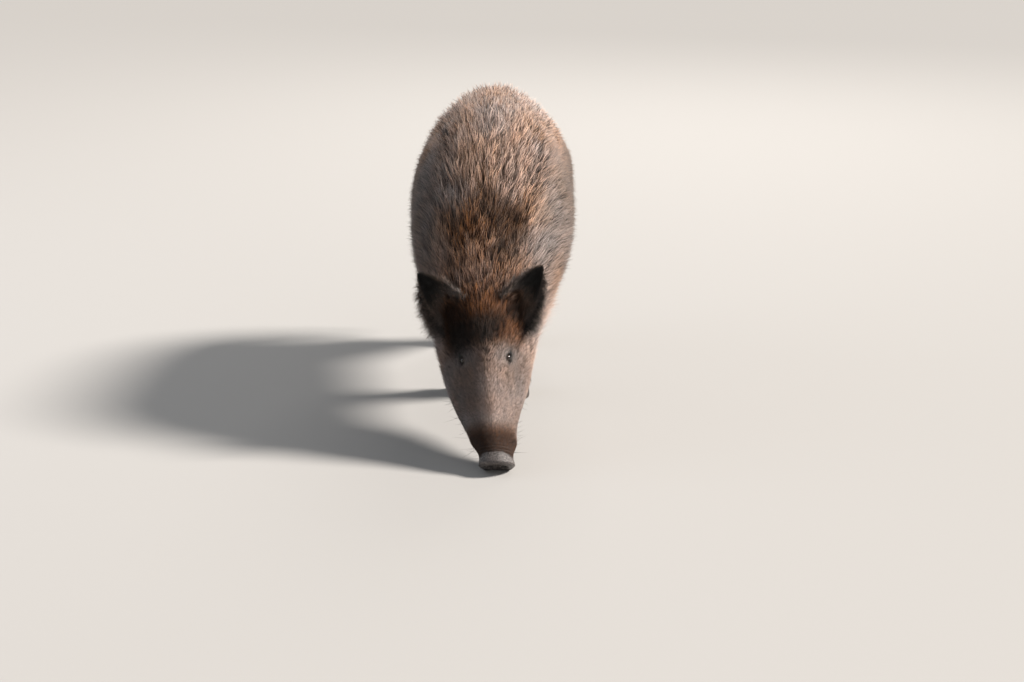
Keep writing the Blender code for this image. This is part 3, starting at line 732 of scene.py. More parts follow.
toUnder = eased((-np.cos(turn) - 0.2) / 0.6)
crestHair, sideHair, underHair, bodyWide = (
    np.interp(length, hairTable[:, 0], hairTable[:, i]) for i in (1, 2, 3, 4))
hair = sideHair + (crestHair - sideHair) * toCrest + (underHair - sideHair) * toUnder
ruff = hill(length - 0.385, 0.085) * hill(np.abs(turn) - 1.45, 0.75)
hair = hair * (1 + 0.45 * ruff)
wide = bodyWide.copy()
coat = coatDepth(length, turn) * (1 + 0.9 * ruff)
coat = coat * (1 + 0.32 * toCrest * eased((length - 0.85) / 0.2)) * (1 + 0.18 * eased((length - 0.5) / 0.1))
nearEye = eased((0.040 - eyeGap) / 0.026)
hair = hair + (0.0075 - hair) * nearEye * onBody
wide = wide + (0.0008 - wide) * nearEye * onBody
coat = coat + (0.0022 - coat) * nearEye
nearMouth = eased((0.0100 - mouthGap) / 0.0080)
hair = hair + (0.0055 - hair) * nearMouth
coat = coat + (0.0010 - coat) * nearMouth
hair = np.where(isLeg, np.interp(raw[:, 2], legHair[:, 0], legHair[:, 1]), hair)
wide = np.where(isLeg, np.interp(raw[:, 2], legHair[:, 0], legHair[:, 2]), wide)
legCoat = np.array(leg["coat"])
atHoof = eased((0.072 - raw[:, 2]) / 0.024)
coat = np.where(isLeg, np.interp(raw[:, 2], legCoat[:, 0], legCoat[:, 1]) + 0.0055 * atHoof, coat)
tailEnd = eased((v - 0.66) / 0.2)
hair = np.where(isTail, 0.020 + 0.040 * tailEnd, hair)
wide = np.where(isTail, 0.0013, wide)
coat = np.where(isTail, 0.004 + 0.006 * tailEnd, coat)
fringe = earEdge * np.where(earAcross > 0, 1.0, 0.42) * (1 - 0.45 * earShare)
hair = np.where(isEar, 0.011 + 0.034 * fringe, hair)
hair = np.where(earInner & (earEdge < 0.5), 0.013 + 0.016 * (1 - earShare), hair)
wide = np.where(isEar, 0.0008 + 0.0002 * fringe, wide)
coat = np.where(isEar, 0.0032 + 0.008 * fringe, coat)
hair = np.where(isLid, 0.0035, hair)
wide = np.where(isLid, 0.0006, wide)
coat = np.where(isLid, 0.0008, coat)
hair, wide, coat = smoothed(np.stack([hair, wide, coat], 1), edges, 0.8 * seamNear, 30).T

# lie of the hair: back along the body, down its sides, out over the face, to the tips of the ears
flow = facts["flow"][skinFact].copy()
downward = np.array([0, 0, -1.0])
roundWay = facts["round"][skinFact]
rump = eased((raw[:, 1] - 1.10) / 0.14)
fall = 0.55 * eased((np.abs(turn) - 0.35) / 1.0) * eased((length - 0.34) / 0.15)
bodyFlow_ = flow * (1 - 0.85 * rump)[:, None] + (fall + 1.1 * rump)[:, None] * downward
outFace = 0.42 * eased((0.36 - length) / 0.10) * np.sign(turn) * np.minimum(np.abs(turn) / 0.12, 1)
bodyFlow_ = bodyFlow_ + outFace[:, None] * roundWay
flow = np.where(onBody[:, None], bodyFlow_, flow)
legFlow = np.stack([0 * length, 0.42 * (1 - atHoof), 0 * length - 1], 1)
flow = np.where(isLeg[:, None], legFlow, flow)
across = earAxes()[0][None, :] * np.stack([sideOf, np.ones(len(raw)), np.ones(len(raw))], 1)
earOut = earAcross * (0.25 + np.where(earAcross > 0, 1.25, 0.7) * earEdge)
earFlow = facts["flow"][skinFact] * (0.8 - 0.45 * fringe)[:, None] + across * earOut[:, None]
flow = np.where(isEar[:, None], earFlow, flow)
flow = smoothed(unit(flow), edges, 0.8 * seamNear, 60)
flow = unit(flow)

skinMesh.calc_loop_triangles()
corners = np.empty(len(skinMesh.loop_triangles) * 3, np.int32)
skinMesh.loop_triangles.foreach_get("vertices", corners)
corners = corners.reshape(-1, 3)
vertexNormal = np.empty(len(skinMesh.vertices) * 3, np.float32)
skinMesh.vertices.foreach_get("normal", vertexNormal)
vertexNormal = vertexNormal.reshape(-1, 3).astype(float)
facePoints = skinPoints[corners]
faceCross = np.cross(facePoints[:, 1] - facePoints[:, 0], facePoints[:, 2] - facePoints[:, 0])
faceArea = np.linalg.norm(faceCross, axis=1) / 2
faceFlow = unit(flow[corners].mean(1))
faceNormal = unit(vertexNormal[corners].mean(1))
tree = BVHTree.FromPolygons(skinPoints.tolist(), corners.tolist())


# ---- random but repeatable patterns ----
noiseTable = np.random.default_rng(7).random(4096)


def softNoise(points, size):
    # a smooth random value from 0 to 1: random numbers on a lattice of this size, eased between
    at = points / size
    base = np.floor(at).astype(np.int64)
    part = eased(at - base)
    total = np.zeros(len(points))
    for corner in np.ndindex(2, 2, 2):
        cell = base + np.array(corner)
        key = (cell[:, 0] * 73856093) ^ (cell[:, 1] * 19349663) ^ (cell[:, 2] * 83492791)
        weight = np.prod(np.where(np.array(corner) == 1, part, 1 - part), axis=1)
        total += weight * noiseTable[key & 4095]
    return total


# ---- markings, the same for skin and coat ----
def markings(length, turn, raw, isLeg, isEar, isTail, earInner, fringe):
    # weights from 0 to 1 of the coat's other colours over its plain grizzled brown
    x, up = raw[:, 0], raw[:, 2]
    off = np.abs(turn)
    onBody = ~(isLeg | isEar | isTail)
    spread = np.stack([turn * 0.20, length + 0.22 * off, 0 * off + 5], 1)
    streaks = softNoise(spread / np.array([1.0, 6.0, 1.0]), 0.017)
    blotch = softNoise(raw + 3.0, 0.050)
    patches = softNoise(raw * np.array([1.0, 0.6, 0.6]) + 7.0, 0.034)
    mottle = softNoise(spread / np.array([1.0, 2.2, 1.0]) + 9, 0.016)
    # the dark mane over neck and shoulders, ending in a soft edge down each side
    band = 0.30 + 0.34 * eased((length - 0.42) / 0.14)
    mane = eased((length - 0.36) / 0.08) * (0.10 + 0.90 * eased((0.605 - length) / 0.10))
    mane = mane * eased((1.20 - length) / 0.35) * (1 - eased((off - band) / 0.16))
    mane = mane * (0.58 + 0.42 * eased((mottle - 0.25) / 0.3)) * (0.72 + 0.28 * eased((length - 0.455) / 0.03))
    border = hill(off - band - 0.06, 0.16) * eased((length - 0.50) / 0.06) * eased((1.00 - length) / 0.25)
    upperFlank = eased((length - 0.56) / 0.10) * eased((1.10 - length) / 0.2)
    upperFlank = upperFlank * eased((1.35 - off) / 0.35) * eased((off - 0.55) / 0.2)
    dark = np.maximum(mane, 0.85 * upperFlank * eased((streaks - 0.50) / 0.09))
    dark = np.maximum(dark, 0.80 * border * (0.5 + 0.5 * mottle))
    # the dark patch over the forehead: partly the coat's own marking, partly a painted shadow cast by the ears, so it
    # reaches further over the animal's right than its left
    foreheadMarkAndShadow = eased((0.060 - np.abs(length - 0.322)) / 0.045) * eased((turn + 1.15) / 0.45)
    foreheadMarkAndShadow = foreheadMarkAndShadow * eased((0.64 + 4.0 * (length - 0.322) - turn) / 0.40)
    dark = np.maximum(dark, 0.92 * foreheadMarkAndShadow)
    rust = eased((length - 0.272) / 0.04) * eased((0.55 - length) / 0.14) * (1 - eased((off - 0.80) / 0.30))
    rust = rust * (0.62 + 0.38 * eased((0.44 - length) / 0.06))
    rust = np.maximum(rust * (0.72 + 0.28 * blotch), 0.52 * mane * eased((blotch - 0.2) / 0.5))
    edge = eased((off - 0.80) / 0.35) * eased((length - 0.62) / 0.15) * eased((1.9 - off) / 0.5)
    rust = np.maximum(rust, 0.34 * edge * (0.5 + 0.5 * blotch))
    shoulder = hill(length - 0.53, 0.15) * eased((off - 1.0) / 0.4)
    rust = np.maximum(rust, 0.30 * shoulder)
    dark = np.maximum(dark, np.maximum(0.30 * edge, 0.55 * shoulder) * (0.4 + 0.6 * mottle))
    reach = 1.15 + 1.3 * eased((0.080 - length) / 0.045)
    saddle = eased((length - 0.012) / 0.012) * eased((0.118 - length) / 0.055) * (1 - eased((off - reach) / 0.5))
    rust = np.maximum(rust, 0.96 * saddle)
    noseBand = hill(x - 0.004, 0.020) * eased((length - 0.10) / 0.03) * eased((0.34 - length) / 0.06)
    rust = np.maximum(rust, 0.38 * noseBand * (0.5 + 0.5 * mottle))
    pale = eased((length - 0.030) / 0.03) * eased((0.315 - length) / 0.05)
    pale = pale * (0.45 + 0.55 * eased((mottle - 0.15) / 0.5))
    pale = np.maximum(pale, 0.45 * eased((length - 0.24) / 0.10) * eased((0.62 - length) / 0.2)
                      * eased((off - 0.75) / 0.40) * (1 - eased((off - 1.15) / 0.3) * eased((length - 0.42) / 0.06)))
    pale = pale * (1 - 0.9 * saddle)
    grey = 0.85 * eased((0.046 - eyeGapOf(raw)) / 0.034)
    along, under = headLines(raw)
    grey = np.maximum(grey, 0.62 * hill(along - 0.205, 0.100) * hill(under - 0.046, 0.040) * (0.5 + 0.5 * mottle))
    flank = eased((length - 0.36) / 0.2) * eased((off - 0.65 - 0.22 * eased((length - 0.7) / 0.2)) / 0.4)
    flank = flank * eased((2.4 - off) / 0.5)
    grey = np.maximum(grey, 0.78 * flank * (1 - 0.5 * shoulder))
    earBase = 0.55 * earInner * eased((0.50 - earShare) / 0.35)
    grey = np.where(isEar, np.maximum(0.95 * eased(fringe / 0.7), earBase), np.where(isLeg, 0.60, grey * onBody))
    # a near-black ring round the eye's slit: partly the lids' own dark skin, partly painted shade of the upper lid,
    # drawn longer along the slit
    rim = eased((1.85 - slitGapOf(raw)) / 0.5)
    rim = np.maximum(rim, 0.92 * eased((1.25 - slitGapOf(raw, 1.75, 1.25)) / 0.3))
    # a dark streak along the groove before the eye
    eyeGrooveDark = eased((0.0045 - np.abs(under - 0.040 - 0.10 * (0.262 - along))) / 0.003)
    eyeGrooveDark = eyeGrooveDark * eased((along - 0.222) / 0.02) * eased((0.268 - along) / 0.01)
    eyeGrooveDark = eyeGrooveDark * eased((0.012 - np.abs(np.abs(x) - 0.056)) / 0.006)
    black = np.where(isEar, 1.0 - np.maximum(0.92 * eased(fringe / 0.65), earBase), 0.0)
    black = np.where(isLeg, 0.20 + 0.80 * eased((0.40 - up) / 0.20), black)
    black = np.where(isTail, 0.55 + 0.45 * eased((0.50 - up) / 0.08), black)
    chest = onBody * eased((off - 1.30) / 0.8) * eased((length - 0.46) / 0.15)
    black = np.maximum(black, 0.55 * chest)
    # the hair parts over the shoulders and shows near-black underneath
    gaps = eased((patches - 0.57) / 0.12) * eased((length - 0.44) / 0.04) * eased((0.66 - length) / 0.12)
    black = np.maximum(black, 0.62 * gaps * (1 - eased((off - 0.75) / 0.2)) * onBody)
    # the forehead's patch, part marking and part painted ear shadow, is near-black as well
    black = np.maximum(black, 0.90 * foreheadMarkAndShadow * onBody)
    black = np.maximum(black, 0.68 * saddle * onBody)
    # near-black round the eye, partly painted shade of the upper lid, and along the groove before it
    black = np.maximum(black, onBody * np.maximum(rim, 0.8 * eyeGrooveDark))
    mouth, inside = mouthLine(along)
    lips = eased((0.0062 - np.abs(under - mouth)) / 0.0040) * inside * (length < 0.23)
    black = np.maximum(black, onBody * np.maximum(0.92 * lips, 0.60 * hill(length - 0.020, 0.024)))
    earRoot = headPoint(ear["root"][0] - 0.012, ear["root"][1], ear["root"][2])
    earNear = np.linalg.norm(raw * np.stack([np.sign(x), 0 * x + 1, 0 * x + 1], 1) - earRoot, axis=1)
    black = np.maximum(black, 0.72 * onBody * eased((0.050 - earNear) / 0.022))
    return {"dark": dark * onBody, "rust": rust * onBody, "pale": pale * onBody, "grey": grey,
            "black": black, "blotch": blotch + (0.85 - blotch) * np.minimum(1.3 * rust, 1) * onBody}


def eyeGapOf(raw):
    return np.minimum(*(np.linalg.norm(raw - eyeBase[side], axis=1) for side in (leftSide, rightSide)))


skinMarks = markings(length, turn, raw, isLeg, isEar, isTail, earInner, fringe)
blended = smoothed(np.stack(list(skinMarks.values()), 1), edges, 0.8 * seamNear, 60)
skinMarks = dict(zip(skinMarks, blended.T))
skinMarks["leather"] = eased((0.026 + 0.010 * toCrest - length) / 0.010) * onBody
# painted shade: near-black inside the nostrils, where they sink into the disc
skinMarks["nostrilShade"] = eased((1.08 - nostrilGap(raw[:, 0], headUnder)) / 0.30) * onBody * (length < 0.001)
for key, values in skinMarks.items():
    setFloats(skinMesh, key, values)
strand = np.stack([np.where(onBody, turn * 0.10, u * 0.2), np.where(onBody, length, v * 0.3), skinPart], 1)
strandMade = skinMesh.attributes.new("strand", "FLOAT_VECTOR", "POINT")
strandMade.data.foreach_set("vector", strand.astype(np.float32).ravel())


# ---- coat ----
tuft = {
    "blades": 4, "fineBlades": 7, "cover": 3.5, "faceCover": 2.8, "legCover": 2.6, "earCover": 2.6,
    "clump": 0.60, "faceClump": 0.28, "maneClump": 0.80, "radius": 1.9, "maneRadius": 1.45,
    "thick": 0.34, "sink": 0.0010,
}
isMane = onBody & (((length > 0.40) & (length <= 0.98) & (np.abs(turn) < 0.8))
                   | ((length > 0.98) & (np.abs(turn) < 1.0)))
isFine = ~(isMane | isTail)         # short straight blades, where the mane's and tail's bend


def tuftRoots():
    # skin triangles drawn by area times the tufts wanted there, and a random place on each
    cover = np.where(isEar, tuft["earCover"], np.where(isLeg, tuft["legCover"],
                     np.where(onBody & (length < 0.32), tuft["faceCover"], tuft["cover"])))
    perArea = cover / (np.where(isFine, tuft["fineBlades"] * 0.5, tuft["blades"] * 0.6) * hair * wide)
    bare = (onBody & (length < 0.022 + 0.008 * toCrest)) | (eyeSlitGap < 1.22)
    bare = bare | (isLeg & (raw[:, 2] < 0.0355)) | (mouthGap < 0.0022)
    perArea = np.where(bare, 0, perArea)
    perArea = np.where(earInner & (earEdge < 0.5), perArea * 0.5, perArea)
    perArea = np.where(isEar, perArea * (1 + 1.6 * fringe), perArea)
    want = faceArea * perArea[corners].mean(1) * (perArea[corners].min(1) > 0)
    total = np.cumsum(want)
    count = int(total[-1])
    face_ = np.searchsorted(total, (np.arange(count) + chance.random(count)) / count * total[-1])
    face_ = np.minimum(face_, len(want) - 1)
    a, b = chance.random((2, count))
    flip = a + b > 1
    a, b = np.where(flip, 1 - a, a), np.where(flip, 1 - b, b)
    return face_, np.stack([1 - a - b, a, b], 1)


rootFace, rootShare = tuftRoots()
rootCorner = corners[rootFace]
nearCorner = rootCorner[np.arange(len(rootFace)), rootShare.argmax(1)]


def atRoots(values):
    # a skin value read at each root from the three corners round it
    if values.ndim == 1:
        return (values[rootCorner] * rootShare).sum(1)
    return (values[rootCorner] * rootShare[..., None]).sum(1)


def snapped(points):
    # the skin's nearest place under each point, its normal there and its triangle
    found = [tree.find_nearest(point) for point in points.tolist()]
    at = np.array([f[0] for f in found])
    face_ = np.array([f[2] for f in found])
    return at, faceNormal[face_], face_


tuftHair = atRoots(hair) * chance.uniform(0.82, 1.12, len(rootFace))
free = np.where(isEar, eased((fringe - 0.15) / 0.2), 0.0)       # hair that stands off past an edge
free = np.where(isLeg, eased((0.062 - raw[:, 2]) / 0.02), free)
free = np.where(isTail, eased((v - 0.80) / 0.12), free)
rootFree = atRoots(free)
pathAt = [atRoots(skinPoints)]
pathNormal = [unit(atRoots(vertexNormal))]
pathFlow = []
pathFace = rootFace
stray = chance.normal(0, 1, len(rootFace)) * np.where(isMane, 0.17, 0.11)[nearCorner]
for step in range(3):
    heading = faceFlow[pathFace] if step else atRoots(flow)
    if step:
        heading = heading + rootFree[:, None] * (pathFlow[-1] - heading)
    normal = pathNormal[-1]
    heading = unit(heading - (heading * normal).sum(1, keepdims=True) * normal)
    heading = unit(heading + stray[:, None] * np.cross(normal, heading))
    pathFlow.append(heading)
    straight = pathAt[-1] + heading * (tuftHair / 3)[:, None]
    at, normal, pathFace = snapped(straight)
    at = at + rootFree[:, None] * (straight - at)
    normal = unit(normal + rootFree[:, None] * (pathNormal[-1] - normal))
    pathAt.append(at)
    pathNormal.append(normal)
pathFlow.append(pathFlow[-1])
pathAt, pathNormal, pathFlow = (np.stack(x, 1) for x in (pathAt, pathNormal, pathFlow))
print("tufts", len(rootFace))

rootPart = skinPart[nearCorner]
rootClump = np.where(onBody[nearCorner] & (length[nearCorner] < 0.30), tuft["faceClump"], tuft["clump"])
rootMane = isMane[nearCorner]
rootClump = np.where(rootMane, tuft["maneClump"] - 0.14 * eased((length[nearCorner] - 0.8) / 0.2), rootClump)
rootRadius = np.where(rootMane, tuft["maneRadius"], tuft["radius"])
rootLift = chance.uniform(0.35, 1.10, len(rootFace))
rootTone = np.where(onBody[nearCorner] & (length[nearCorner] < 0.33), 0.55, 1.0)
rootMarks = {key: atRoots(values) for key, values in skinMarks.items()}
rootCoat = atRoots(coat)
rootWide = atRoots(wide)
rootLength, rootTurn = length[nearCorner], turn[nearCorner]
rootU, rootV = u[nearCorner], v[nearCorner]


def coatPieceOf():
    # each tuft's coat piece, so that none of them grows too heavy
    names = np.full(len(rootFace), "coatFlankLeft", dtype=object)
    left = rootTurn > 0
    off = np.abs(rootTurn)
    names[~left] = "coatFlankRight"
    names[(rootLength > 0.43) & (off > 2.2)] = "coatBelly"
    names[rootLength <= 0.43] = "coatNape"
    names[(rootLength <= 0.33) & left] = "coatFaceLeft"
    names[(rootLength <= 0.33) & ~left] = "coatFaceRight"
    names[isMane[nearCorner] & (rootLength <= 0.80)] = "coatMane"
    names[isMane[nearCorner] & (rootLength > 0.80)] = "coatBack"
    for i, name in enumerate(parts):
        here = rootPart == i
        if "foreleg" in name:
            names[here] = "coatForelegs"
        elif "hindleg" in name:
            names[here] = "coatHindlegs"
        elif "ear" in name:
            names[here] = "coatEars"
        elif name == "tail":
            names[here] = "coatTail"
    return names


pieceOf = coatPieceOf()


def pathAtShare(values, share):
    # a path value read between its four stations
    at = np.clip(share * 3, 0, 2.9999)
    i = at.astype(int)
    t = (at - i)[..., None]
    pick = np.arange(len(values))
    return values[pick, i] * (1 - t) + values[pick, i + 1] * t


def coatPiece(name, chosen, rowsAt):
    # thin closed blades, three-sided, carried along each tuft's path and drawn together at the tip
    k = tuft["fineBlades"] if len(rowsAt) == 2 else tuft["blades"]
    index = np.repeat(chosen, k)
    count = len(index)
    within = np.tile(np.arange(k), len(chosen))
    reach = chance.uniform(0.68, 1.0, count)
    lift = chance.uniform(0.30, 1.10, count) ** 0.8
    lift = lift + np.where(rootMane, 0.7, 0.4)[index] * (rootLift[index] - lift)
    loose = chance.random(count) < 0.06
    lift = np.where(loose, chance.uniform(1.05, 1.5, count), lift) * rootCoat[index]
    around = chance.random(count) * 2 * np.pi
    far = np.sqrt(chance.random(count)) * rootRadius[index] * np.sqrt(tuftHair[index] * rootWide[index])
    jitterSide, jitterAlong = far * np.cos(around), far * np.sin(around)
    bend = chance.normal(0, 0.07, count) * tuftHair[index]
    broad = rootWide[index] * chance.uniform(0.75, 1.2, count)
    length_ = tuftHair[index]
    points, shares = [], []
    ends = [(-0.5, -0.3), (0.5, -0.3), (0.0, 0.7)]
    paths, normals, flows = pathAt[index], pathNormal[index], pathFlow[index]
    for share, broadness in rowsAt:
        at = pathAtShare(paths, reach * share)
        normal = unit(pathAtShare(normals, reach * share))
        heading = unit(pathAtShare(flows, reach * share))
        side = unit(np.cross(normal, heading))
        tight = 1 - rootClump[index] * share
        height = lift * (1 - (1 - share) ** 1.8) - tuft["sink"] * (1 - share)
        at = at + side * (jitterSide * tight + bend * share ** 2)[:, None]
        at = at + heading * (jitterAlong * tight)[:, None] + normal * height[:, None]
        if broadness == 0:
            points.append(at)
            shares.append(np.full(count, share))
            continue
        for across, over in ends:
            offset = side * (across * broad * broadness)[:, None]
            offset = offset + normal * (over * tuft["thick"] * broad * broadness)[:, None]
            points.append(at + offset)
            shares.append(np.full(count, share))
    points = np.stack(points, 1)
    shares = np.stack(shares, 1)
    per = points.shape[1]
    rings = (per - 1) // 3
    faces = [(0, 2, 1)]
    for r in range(rings - 1):
        for i in range(3):
            j = (i + 1) % 3
            a, b, c, d = 3 * r + i, 3 * r + j, 3 * r + 3 + j, 3 * r + 3 + i
            faces += [(a, b, c), (a, c, d)]
    last = 3 * (rings - 1)
    faces += [(last, last + 1, per - 1), (last + 1, last + 2, per - 1), (last + 2, last, per - 1)]
    faces = np.array(faces)
    a, b, c = (points[0][faces[:, i]] - points[0].mean(0) for i in range(3))
    if (a * np.cross(b, c)).sum() < 0:
        faces = faces[:, ::-1]
    allFaces = (faces[None] + per * np.arange(count)[:, None, None]).reshape(-1, 3)
    piece = meshObject(name, points.reshape(-1, 3), allFaces)
    mesh = piece.data
    setFloats(mesh, "along", shares.ravel())
    tone = chance.normal(0, 1, len(rootFace))[index] * 0.7 + chance.normal(0, 0.7, count)
    tone = tone * rootTone[index]
    setFloats(mesh, "tone", np.repeat(tone, per))
    for key in ("dark", "rust", "pale", "grey", "black", "blotch"):
        setFloats(mesh, key, np.repeat(rootMarks[key][index], per))
    # each tuft's patch on an unwrap of the skin: round it and along it, fitted to this piece
    places = np.stack([rootU[chosen], rootV[chosen]], 1)
    places = places + chance.uniform(-0.5, 0.5, places.shape) / np.array([face["columns"], len(bodySkin)])
    whole = rootPart[chosen] * 1.0
    order = {part: i for i, part in enumerate(np.unique(whole))}
    cell = np.array([order[part] for part in whole])
    low, high = places.min(0), places.max(0)
    places = (places - low) / np.maximum(high - low, 1e-6)
    places[:, 0] = (places[:, 0] + cell) / len(order)
    places = 0.004 + 0.992 * places
    patch = 0.003
    across = np.array([0, 1, 0.5] * rings + [0.5])
    uv = np.empty((count, per, 2))
    uv[..., 0] = np.repeat(places[:, 0], k)[:, None] + patch * ((within[:, None] + across[None]) / k - 0.5)
    uv[..., 1] = np.repeat(places[:, 1], k)[:, None] + patch * (shares - 0.5)
    layer = mesh.uv_layers.new(name="OFBake")
    layer.data.foreach_set("uv", uv.reshape(-1, 2)[allFaces.ravel()].astype(np.float32).ravel())
    return piece


coats = {}
for name in sorted(set(pieceOf)):
    chosen = np.flatnonzero(pieceOf == name)
    bent = name in ("coatMane", "coatBack", "coatTail")
    coats[name] = coatPiece(name, chosen, ((0, 0.8), (0.5, 1.0), (1, 0)) if bent else ((0, 1.0), (1, 0)))
    print(name, len(coats[name].data.polygons))
print("coat", sum(len(piece.data.polygons) for piece in coats.values()))


# ---- eyes, hooves and whiskers ----
def eyeBall(side):
    # a ball with a cornea that bulges a little, ring by ring away from the look
    look, slit, across = eyeAxes(side)
    away = np.linspace(0.02, np.pi - 0.02, 60)[:, None]
    turn = np.linspace(0, 2 * np.pi, 64, endpoint=False)[None, :]
    reach = face["eyeRadius"] - 0.0002 + 0.0007 * np.maximum(1 - (away / 0.66) ** 2, 0) ** 1.5
    at = look * (reach * np.cos(away) + 0 * turn)[..., None]
    at = at + slit * (reach * np.sin(away) * np.cos(turn))[..., None]
    at = at + across * (reach * np.sin(away) * np.sin(turn))[..., None]
    piece = tubeObject("eyeball" + ("Left" if side > 0 else "Right"), posed(at + eyeBase[side]))
    # the pupil is a level oval, so the look's distance is stretched across the slit
    oval = np.hypot(away * np.cos(turn) * 0.72, away * np.sin(turn) * 1.25).ravel()
    setFloats(piece.data, "gaze", np.concatenate([oval, [0.0, 3.0]]))
    return piece


hoof = {"rows": 26, "columns": 56, "dewRows": 16, "dewColumns": 24, "rings": 0.0034}


def fitted(grid, node):
    # the grid stretched to fill the node's box exactly
    low, high = (np.array(corner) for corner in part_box(node))
    flat = grid.reshape(-1, 3)
    small, large = flat.min(0), flat.max(0)
    return (grid - small) / (large - small) * (high - low) + low


def clawGrid(outward):
    # rounded teardrops from the sole up, each set back and drawn in, with low growth rings
    share = np.concatenate([[0.0, 0.0, 0.012, 0.04], np.linspace(0.09, 1, hoof["rows"] - 8), [1.01, 1.015, 1.0, 0.97]])
    draw = np.concatenate([[0.55, 0.93, 0.975, 1.0], np.ones(hoof["rows"] - 8), [0.97, 0.9, 0.75, 0.5]])
    turn = np.linspace(0, 2 * np.pi, hoof["columns"], endpoint=False)[None, :]
    front = -np.cos(turn)
    long_ = np.interp(share, (0, 0.12, 0.6, 1), (1, 1.02, 0.70, 0.44))[:, None] * draw[:, None]
    wide_ = np.interp(share, (0, 0.12, 0.6, 1), (1, 1.03, 0.95, 0.8))[:, None] * draw[:, None]
    rings = 0.006 * np.sin(share * 46)[:, None] * ((share > 0.05) & (share < 0.95))[:, None]
    across = np.sign(np.sin(turn)) * np.abs(np.sin(turn)) ** 0.8
    toe = 1 - 0.30 * np.maximum(front, 0) ** 2
    hollow = 1 - 0.16 * (across * outward < 0) * (1 - np.abs(front))
    x = 0.013 * (wide_ + rings) * across * toe * hollow
    y = 0.033 * (long_ + rings) * np.cos(turn) * np.where(np.cos(turn) < 0, 1.0, 0.92) + 0.018 * share[:, None]
    z = 0.046 * share[:, None] * (1 - 0.16 * eased(np.cos(turn)))
    x, y, z = np.broadcast_arrays(x, y, z)
    return np.stack([x, y, z], -1)


def dewclawGrid():
    # a blunt horn: ovals that shrink to a rounded tip, low end down
    share = np.linspace(0, 1, hoof["dewRows"])[:, None]
    turn = np.linspace(0, 2 * np.pi, hoof["dewColumns"], endpoint=False)[None, :]
    size = np.sqrt(np.clip(1 - (1 - share) ** 2.2, 0.02, 1)) * (1 - 0.25 * share)
    size = size * np.sqrt(np.clip(1 - (np.maximum(share - 0.72, 0) / 0.29) ** 2, 0.02, 1))
    x = 0.010 * size * np.sin(turn)
    y = 0.012 * size * np.cos(turn) - 0.020 * share ** 1.3
    z = 0.036 * share + 0 * turn
    x, y, z = np.broadcast_arrays(x, y, z)
    return np.stack([x, y, z], -1)


def joined(name, grids):
    # several closed tubes as one object
    pieces = [tubeObject(name, grid) for grid in grids]
    points, faces, start = [], [], 0
    for piece in pieces:
        at = pointsOf(piece.data)
        corners_ = np.empty(len(piece.data.loops), np.int32)
        piece.data.loops.foreach_get("vertex_index", corners_)
        points.append(at)
        faces.append(corners_.reshape(-1, 3) + start)
        start += len(at)
        bpy.data.objects.remove(piece)
    return meshObject(name, np.concatenate(points), np.concatenate(faces))


hooves = {}
for legWord in ("foreleg", "hindleg"):
    for sideWord in ("left", "right"):
        grids, nodes = [], []
        for place in ("inner", "outer"):
            outward = (1 if sideWord == "left" else -1) * (1 if place == "outer" else -1)
            for kind in ("claw", "dewclaw"):
                node = "_".join((kind, legWord, sideWord, place))
                grid = clawGrid(outward) if kind == "claw" else dewclawGrid()
                grids.append(fitted(grid, node))
                nodes.append(node)
        name = "hooves" + legWord.title() + sideWord.title()
        hooves[name] = (joined(name, grids), nodes)
eyes = {"eye_left": eyeBall(leftSide), "eye_right": eyeBall(rightSide)}


whisker = {"count": 70, "length": (0.015, 0.038), "width": 0.0003, "lashes": 26, "lashLength": 0.015}


def bristleRods(name, roots, normals, headings, lengths, width):
    # single stiff hairs: three-sided rods on a curve that leans over toward the heading
    stations = np.array([0, 0.3, 0.65, 1.0])
    count = len(roots)
    points = []
    for share in stations:
        lean = share * (0.55 + 0.45 * share)
        at = roots + normals * share * (1 - 0.45 * share) * lengths[:, None]
        at = at + headings * lean * lengths[:, None]
        if share == 1.0:
            points.append(at[:, None])
            continue
        heading = unit(headings + 0.3 * normals)
        side = unit(np.cross(heading, normals))
        other = np.cross(side, heading)
        size = width * (1 - 0.7 * share)
        ring = [at + size * (np.cos(a) * side + np.sin(a) * other) for a in (0, 2 * np.pi / 3, 4 * np.pi / 3)]
        points.append(np.stack(ring, 1))
    points = np.concatenate(points, 1)
    faces = [(0, 2, 1)]
    for r in range(2):
        for i in range(3):
            j = (i + 1) % 3
            a, b, c, d = 3 * r + i, 3 * r + j, 3 * r + 3 + j, 3 * r + 3 + i
            faces += [(a, b, c), (a, c, d)]
    faces += [(6, 7, 9), (7, 8, 9), (8, 6, 9)]
    faces = np.array(faces)
    a, b, c = (points[0][faces[:, i]] - points[0].mean(0) for i in range(3))
    if (a * np.cross(b, c)).sum() < 0:
        faces = faces[:, ::-1]
    allFaces = (faces[None] + 10 * np.arange(count)[:, None, None]).reshape(-1, 3)
    piece = meshObject(name, points.reshape(-1, 3), allFaces)
    setFloats(piece.data, "along", np.tile(np.repeat(stations, (3, 3, 3, 1)), count))
    cell = np.arange(count)
    side_ = math.ceil(math.sqrt(count))
    places = np.stack([(cell % side_ + 0.5) / side_, (cell // side_ + 0.5) / side_], 1)
    local = np.stack([np.tile([0, 1, 0.5], 3).tolist() + [0.5], np.repeat(stations, (3, 3, 3, 1))], 1) - 0.5
    uv = places[:, None] + 0.6 / side_ * local[None]
    layer = piece.data.uv_layers.new(name="OFBake")
    layer.data.foreach_set("uv", uv.reshape(-1, 2)[allFaces.ravel()].astype(np.float32).ravel())
    return piece


